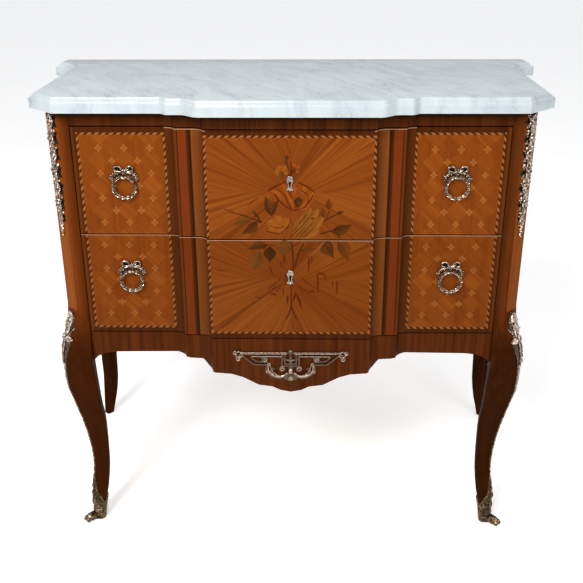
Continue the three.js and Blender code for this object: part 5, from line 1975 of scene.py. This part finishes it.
@dataclass
class Marquetry:
    """The flowering branch let into the middle of one drawer front; places are in millimetres."""

    level: Level
    finishes: Finishes
    foundry: Foundry
    slips: Slips
    proud: float = 0.00008
    bold: float = 1.75

    def make(self) -> None:
        """Lays the slips and the stems of this drawer's part of the branch."""
        node = f"{self.level.value}_drawer_front"
        self.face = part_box(node)[0].y
        self.laid: list[bpy.types.Object] = []
        if self.level is Level.UPPER:
            self.make_flowers()
            self.make_upper_leaves()
        else:
            self.make_lower_leaves()
            self.make_ribbons()
        inlay = join(self.laid, f"{self.level.value}_inlay")
        smooth(inlay, 30)
        seat(inlay, body_of_node(node))

    def lay(
        self, slip: bpy.types.Object, finish: str, foot: tuple[float, float], tip: tuple[float, float],
        width: float
    ) -> None:
        """Lays one slip.

        Args:
            slip: its pattern.
            finish: which inlay finish it has.
            foot: the x and z of its foot.
            tip: the x and z of its tip.
            width: its width, below 0 to turn it over.
        """
        start = Vector((foot[0], 0, foot[1])) / 1000
        rise = Vector((tip[0], 0, tip[1])) / 1000 - start
        start.y = self.face - self.proud - 0.000004 * len(self.laid)
        spot = frame_at(start, FRONT, rise.normalized())
        piece = self.foundry.cast(slip, spot @ sized(width / 1000, rise.length, 1))
        self.laid.append(dress(piece, self.finishes.inlay[finish]))

    def draw(self, finish: str, width: float, *marks: tuple[float, float]) -> None:
        """Lays a stem or a line through these x and z marks, thin at both ends.

        Args:
            finish: which inlay finish it has.
            width: its width.
            marks: the x and z of its points.
        """
        level = self.face - self.proud - 0.000004 * len(self.laid)
        points = [Vector((x / 1000, level, z / 1000)) for x, z in marks]
        radii = [width * self.bold / 2000] * len(points)
        radii[0] *= 0.6
        radii[-1] *= 0.4
        line = self.foundry.strand(points, radii)
        flat = Matrix.Translation((0, level, 0)) @ sized(1, 0.12, 1) @ Matrix.Translation((0, -level, 0))
        line.data.transform(flat)
        self.laid.append(dress(line, self.finishes.inlay[finish]))

    def make_flowers(self) -> None:
        """The full bloom under the keyhole, the two open ones below it and the small ones above."""
        petal = self.slips.petal
        for finish, foot, tip, width in (
            ("pale", (-13, 703), (-25, 700), 12), ("pale", (-13, 703), (-20, 712), 11),
            ("pale", (-13, 703), (-8, 713), 10), ("pale", (-13, 703), (-3, 700), 10),
            ("olive", (-13, 703), (-14, 692), 10), ("rose", (9, 708), (15, 713), 7),
            ("rose", (9, 708), (4, 716), 7), ("rose", (8, 706), (15, 702), 6),
            ("rose", (8, 640), (-31, 671), 22), ("rose", (8, 640), (-16, 685), 20),
            ("rose", (10, 640), (2, 684), 18), ("rose", (12, 640), (22, 685), 19),
            ("rose", (12, 640), (38, 672), 21), ("rose", (10, 640), (34, 652), 15),
            ("rose", (5, 638), (-8, 668), 13), ("rose", (14, 642), (32, 662), 13),
            ("pale", (-14, 610), (-38, 618), 17), ("pale", (-14, 610), (-24, 629), 17),
            ("pale", (-14, 610), (-2, 624), 17), ("pale", (-16, 612), (-16, 599), 20),
            ("pale", (-18, 612), (-34, 603), 15), ("bloom", (6, 590), (34, 643), 17),
            ("bloom", (10, 590), (46, 640), 19), ("bloom", (15, 590), (55, 627), 19),
            ("bloom", (20, 590), (48, 606), 14), ("bloom", (4, 592), (20, 628), 14),
        ):
            self.lay(petal, finish, foot, tip, width)
        self.lay(petal, "dark", (12, 644), (15, 661), 14)
        self.lay(petal, "dark", (7, 650), (21, 655), 9)
        for width, marks in (
            (2.4, ((-35, 671), (-27, 677), (-17, 682), (-6, 686))),
            (2.2, ((-25, 666), (-20, 655), (-10, 645), (4, 637.5))),
            (1.8, ((-8, 665), (-6, 655), (-1, 645), (5, 638))), (1.6, ((-20, 672), (-12, 670), (-9, 662))),
            (2.0, ((13, 685), (24, 681), (33, 675), (40, 668))),
            (1.8, ((37, 664), (35, 655), (28, 647), (20, 641))), (1.6, ((24, 642), (29, 650), (31, 660))),
            (1.4, ((6, 637.5), (14, 640), (22, 641))), (1.5, ((18, 672), (26, 668), (30, 662))),
            (1.4, ((-3, 672), (0, 663), (5, 656))),
        ):
            self.draw("madder", width, *marks)
        for width, marks in (
            (1.1, ((-39, 601.5), (-29, 599), (-17, 597.5))),
            (1.1, ((-17, 598), (-7, 603), (0, 613), (0, 624))),
            (0.9, ((-33, 612), (-24, 606), (-14, 606), (-9, 613))),
        ):
            self.draw("umber", width, *marks)
        for width, marks in (
            (1.4, ((1, 592), (12, 603), (20, 611), (37, 634))), (1.3, ((9, 592), (16, 601), (24, 609))),
            (1.2, ((16, 592), (24, 601), (38, 618))), (1.2, ((4, 601), (12, 610), (26, 628))),
            (1.1, ((24, 592), (33, 603), (46, 617))), (1.0, ((14, 615), (24, 627), (31, 638))),
        ):
            self.draw("faded", width, *marks)
        self.lay(self.slips.leaf, "dark", (33.5, 624), (41, 624.5), 3.5)

    def make_upper_leaves(self) -> None:
        """The leaves and stems round the flowers."""
        leaf, bent = self.slips.leaf, self.slips.bent
        for slip, finish, foot, tip, width in (
            (leaf, "dark", (-30.9, 628.8), (-40.2, 662.5), 13),
            (bent, "dark", (-30.0, 628.8), (-21.0, 658.5), -10),
            (bent, "olive", (-63.5, 620.0), (-95.0, 618.5), 14),
            (leaf, "dark", (-50.0, 623.5), (-61.5, 638.0), 5.5),
            (bent, "dark", (-54.0, 619.5), (-75.5, 593.5), -17),
            (leaf, "faded", (64.0, 639.0), (62.5, 658.0), 11.5),
            (leaf, "faded", (55.5, 625.5), (52.8, 642.0), 9),
            (leaf, "dark", (76.0, 631.5), (88.0, 636.5), 7),
            (bent, "dark", (68.5, 602.5), (103.5, 608.5), 18),
            (leaf, "dark", (-4.6, 722.0), (-4.2, 730.0), 7),
            (leaf, "faded", (-8.0, 714.0), (-3.5, 722.0), 5),
            (leaf, "dark", (6.5, 699.0), (7.5, 709.0), 4.5), (leaf, "dark", (0.5, 700.0), (-3.0, 693.0), 5),
        ):
            self.lay(slip, finish, foot, tip, width)
        for width, marks in (
            (1.3, ((-46, 616.5), (-48, 620.5), (-55, 622.5), (-64, 622))),
            (1.0, ((-48, 618), (-54, 628), (-60, 634.5))),
            (0.9, ((-62, 624), (-73, 628.5), (-86, 632), (-100, 634.5))),
            (1.0, ((-55, 619.5), (-50, 617.5), (-46, 617))),
            (1.2, ((55, 619.5), (62, 623.5), (70, 628.5), (78, 632))),
            (0.9, ((59, 622), (62, 630), (64, 640))),
            (1.3, ((49, 597.8), (58, 599.5), (67, 602.8), (72, 604))),
            (1.0, ((67, 602), (74, 600), (79, 596), (84, 590.5))),
            (1.0, ((2.6, 693), (2.6, 703), (3.0, 712), (1, 720))), (0.9, ((2.8, 700), (5, 705), (8, 709))),
            (0.8, ((2.6, 700), (-3, 707), (-5, 714), (-4.5, 722))),
        ):
            self.draw("umber", width, *marks)
        for width, marks in (
            (1.2, ((-108, 640), (-98, 637), (-92, 635))), (1.4, ((-70, 646), (-60, 652), (-52, 660))),
        ):
            self.draw("madder", width * 0.7, *marks)

    def make_lower_leaves(self) -> None:
        """The leaves and stems below the joint, and the foot of the branch."""
        leaf, bent = self.slips.leaf, self.slips.bent
        for slip, finish, foot, tip, width in (
            (bent, "dark", (-37.0, 578.0), (-72.0, 574.5), 15),
            (leaf, "darkest", (-34.5, 575.5), (-34.0, 546.5), 21),
            (leaf, "olive", (-50.5, 567.0), (-64.0, 531.5), 25),
            (leaf, "hatched", (5.0, 574.0), (-27.0, 573.5), 25),
            (bent, "dark", (60.0, 584.8), (66.0, 553.5), 22),
            (bent, "faded", (78.0, 584.5), (103.5, 553.0), -22),
            (leaf, "dark", (57.0, 583.0), (72.0, 576.0), 11),
            (bent, "faded", (17.0, 568.0), (45.5, 569.5), 8.5),
            (leaf, "umber", (-4.0, 489.0), (-5.8, 469.0), 3.2),
            (leaf, "umber", (9.5, 494.0), (3.9, 473.0), 3.4),
            (bent, "umber", (10.0, 492.0), (20.5, 458.5), -3.8),
        ):
            self.lay(slip, finish, foot, tip, width)
        for width, marks in (
            (1.9, ((2.4, 585), (4.0, 570), (5.0, 552), (5.4, 532))),
            (1.7, ((22.7, 580.5), (15, 567.5), (11.5, 557), (7, 535))),
            (1.3, ((3.5, 574), (10, 580), (17, 585))), (1.3, ((-38, 577.5), (-31, 578.2), (-24, 576.5))),
            (1.2, ((11, 560), (15, 566), (20, 568.5))),
            (1.4, ((0.8, 504), (1.2, 482), (2.6, 462), (-2.5, 450), (-8, 441))),
            (1.4, ((2.4, 464), (5.5, 453), (10, 441))), (0.9, ((-45, 570), (-40, 575), (-37, 578))),
            (0.8, ((48, 583.5), (55, 584.6), (63, 584.8))),
        ):
            self.draw("umber", width, *marks)

    def make_ribbons(self) -> None:
        """The tassels and ribbons that hang round the lower keyhole."""
        for width, marks in (
            (3.2, ((-10, 560), (-10, 552), (-9.6, 543))), (2.0, ((-15.5, 549), (-15, 543), (-16, 537))),
            (1.6, ((-34, 540), (-34, 533), (-30, 528), (-29, 521))),
            (1.8, ((-8.5, 525), (-8, 515), (-9.5, 506))),
            (2.0, ((31, 558), (32, 548), (30.5, 540), (30, 529))),
            (1.8, ((36, 559), (36.5, 552), (35.5, 545))),
            (1.2, ((17, 521), (26, 513), (35, 505), (43, 500))),
            (2.4, ((46, 524), (46.5, 512), (45.5, 502), (48, 491))),
            (2.2, ((46, 527), (52, 528.5), (59.5, 527), (59, 516))),
            (2.4, ((79, 514), (79.5, 503), (78, 489))), (1.4, ((71, 513), (72, 506), (71, 500))),
            (1.2, ((-38, 498), (-28, 506), (-16, 518.5))), (2.6, ((-31, 498), (-28, 500), (-24, 503))),
            (1.4, ((-25, 494), (-17, 500), (-14, 508))), (2.0, ((-34, 488), (-27, 492), (-24, 485))),
            (1.6, ((22, 500), (26, 494), (33, 490))), (2.4, ((32, 494), (38, 496), (43, 492))),
            (1.4, ((13, 506), (20, 497), (22, 488))), (1.2, ((-12, 500), (-11, 492), (-13, 485))),
            (1.4, ((-60, 484), (-52, 480), (-46, 484))), (1.2, ((-124, 532), (-118, 534), (-110, 530))),
        ):
            self.draw("madder", width, *marks)


# The chest


@dataclass
class Carcase:
    """The slab, the stiles and legs, the panels, rails and boards."""

    finishes: Finishes
    edge: float = 0.0006

    def make(self) -> None:
        """Dresses every node of the case."""
        f = self.finishes
        plain = {
            "back_panel": f.oak_up, "bottom_board": f.oak_along, "top_back_rail": f.oak_along,
            "middle_back_rail": f.oak_along, "bottom_back_rail": f.oak_along, "middle_front_rail": f.mahogany,
            "left_kicker": f.oak_deep, "right_kicker": f.oak_deep,
        }
        for level in Level:
            for side in Side:
                plain[f"{level.value}_{side.word}_runner"] = f.oak_deep
        for node, finish in plain.items():
            dress(frame["nodes"][node], finish)
        self.dressed("marble_top", f.marble)
        self.dressed("top_front_rail", f.frieze)
        self.dressed("front_apron", f.frieze)
        for side in Side:
            self.dressed(f"front_{side.word}_leg", f.stile, 0.0010)
            self.dressed(f"rear_{side.word}_leg", f.kingwood, 0.0008)
            self.dressed(f"{side.word}_side_panel", f.flank)
            self.dressed(f"{side.word}_side_apron", f.kingwood)

    def dressed(self, node: str, finish: bpy.types.Material, soften: float | None = None) -> None:
        """Stands a softened copy of a node in its place.

        Args:
            node: the node's name.
            finish: its material.
            soften: the rounding of its edges, where it isn't the usual one.
        """
        piece = from_node(node, self.edge if soften is None else soften)
        dress(piece, finish)
        seat(piece, body_of_node(node), [node])


@dataclass
class Drawer:
    """One drawer: its inlaid front, its box, lock and plate."""

    level: Level
    finishes: Finishes
    foundry: Foundry
    edge: float = 0.0007
    rim = ((0.05, 0.04), (0.55, 0.08), (0.86, 0.24), (0.66, 0.42), (0.36, 0.58), (0.40, 0.74), (0.72, 0.92))

    def make(self) -> None:
        """Dresses the drawer."""
        f, name = self.finishes, self.level.value
        for side in Side:
            dress(frame["nodes"][f"{name}_drawer_{side.word}_side"], f.oak_deep)
        dress(frame["nodes"][f"{name}_drawer_back"], f.oak_along)
        dress(frame["nodes"][f"{name}_drawer_bottom"], f.oak_along)
        for node in (f"{name}_lock_case", f"{name}_lock_bolt"):
            dress(frame["nodes"][node], f.steel)
        self.make_front()
        self.make_plate()

    def make_front(self) -> None:
        """The front board: inlaid face, banded edges and plain oak behind."""
        node = f"{self.level.value}_drawer_front"
        piece = from_node(node, self.edge)
        dress(piece, self.finishes.front)
        piece.data.materials.append(self.finishes.oak_along)
        piece.data.materials.append(self.finishes.frieze)
        face_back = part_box(node)[1].y
        for face in piece.data.polygons:
            if face.center.y > face_back - 0.004 or face.normal.y > 0.3:
                face.material_index = 1
            elif abs(face.normal.z) > 0.9 or abs(face.normal.x) > 0.97:
                face.material_index = 2
        seat(piece, body_of_node(node), [node])

    def make_plate(self) -> None:
        """The keyhole plate, with a rolled rim round its bulb and its flared foot."""
        node = f"{self.level.value}_keyhole_plate"
        low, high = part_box(node)
        middle, half = (low.x + high.x) / 2, (high.x - low.x) / 2
        pieces = [dress(from_node(node, 0.0003, 40), self.finishes.silver)]
        pieces += [
            self.foundry.strand(
                [Vector((middle + hand * half * x, low.y - 0.0002, high.z - (high.z - low.z) * z)) for x,
                 z in self.rim],
                [0.0010] * len(self.rim),
            )
            for hand in (-1, 1)
        ]
        for x, z, size in ((0, 0.05, 0.0016), (-0.72, 0.95, 0.0013), (0.72, 0.95, 0.0013), (0, 1.0, 0.0017)):
            place = Vector((middle + half * x, low.y - 0.0004, high.z - (high.z - low.z) * z))
            bead = facing(place)
            pieces.append(self.foundry.cast(self.foundry.bead, bead @ sized(size)))
        plate = dress(join(pieces, f"{node}_cast"), self.finishes.silver)
        seat(plate, body_of_node(node), [node])


@dataclass
class Mounts:
    """Every cast mount and pull of the chest."""

    finishes: Finishes
    foundry: Foundry

    def make(self) -> None:
        """Makes the pulls, the corner mounts and the apron mount."""
        foundry = self.foundry
        for level in Level:
            for side in Side:
                Pull(level.value, side, foundry, self.finishes.ring, self.finishes.shade).make()
        for side in Side:
            leg = bpy.data.objects[f"front_{side.word}_leg_dressed"]
            CornerMounts(side, foundry, self.finishes, Ground(leg)).make()
        ApronMount(foundry, self.finishes.apron, self.finishes.ground).make()


def main() -> None:
    """Builds the chest piece by piece."""
    logging.basicConfig(level=logging.INFO, format="%(name)s: %(message)s")
    Studio().make()
    finishes = Finishes()
    Carcase(finishes).make()
    foundry, slips = Foundry(), Slips()
    for level in Level:
        Drawer(level, finishes, foundry).make()
        Marquetry(level, finishes, foundry, slips).make()
    Mounts(finishes, foundry).make()
    slips.put_away()
    foundry.put_away()


if __name__ == "__main__":
    main()
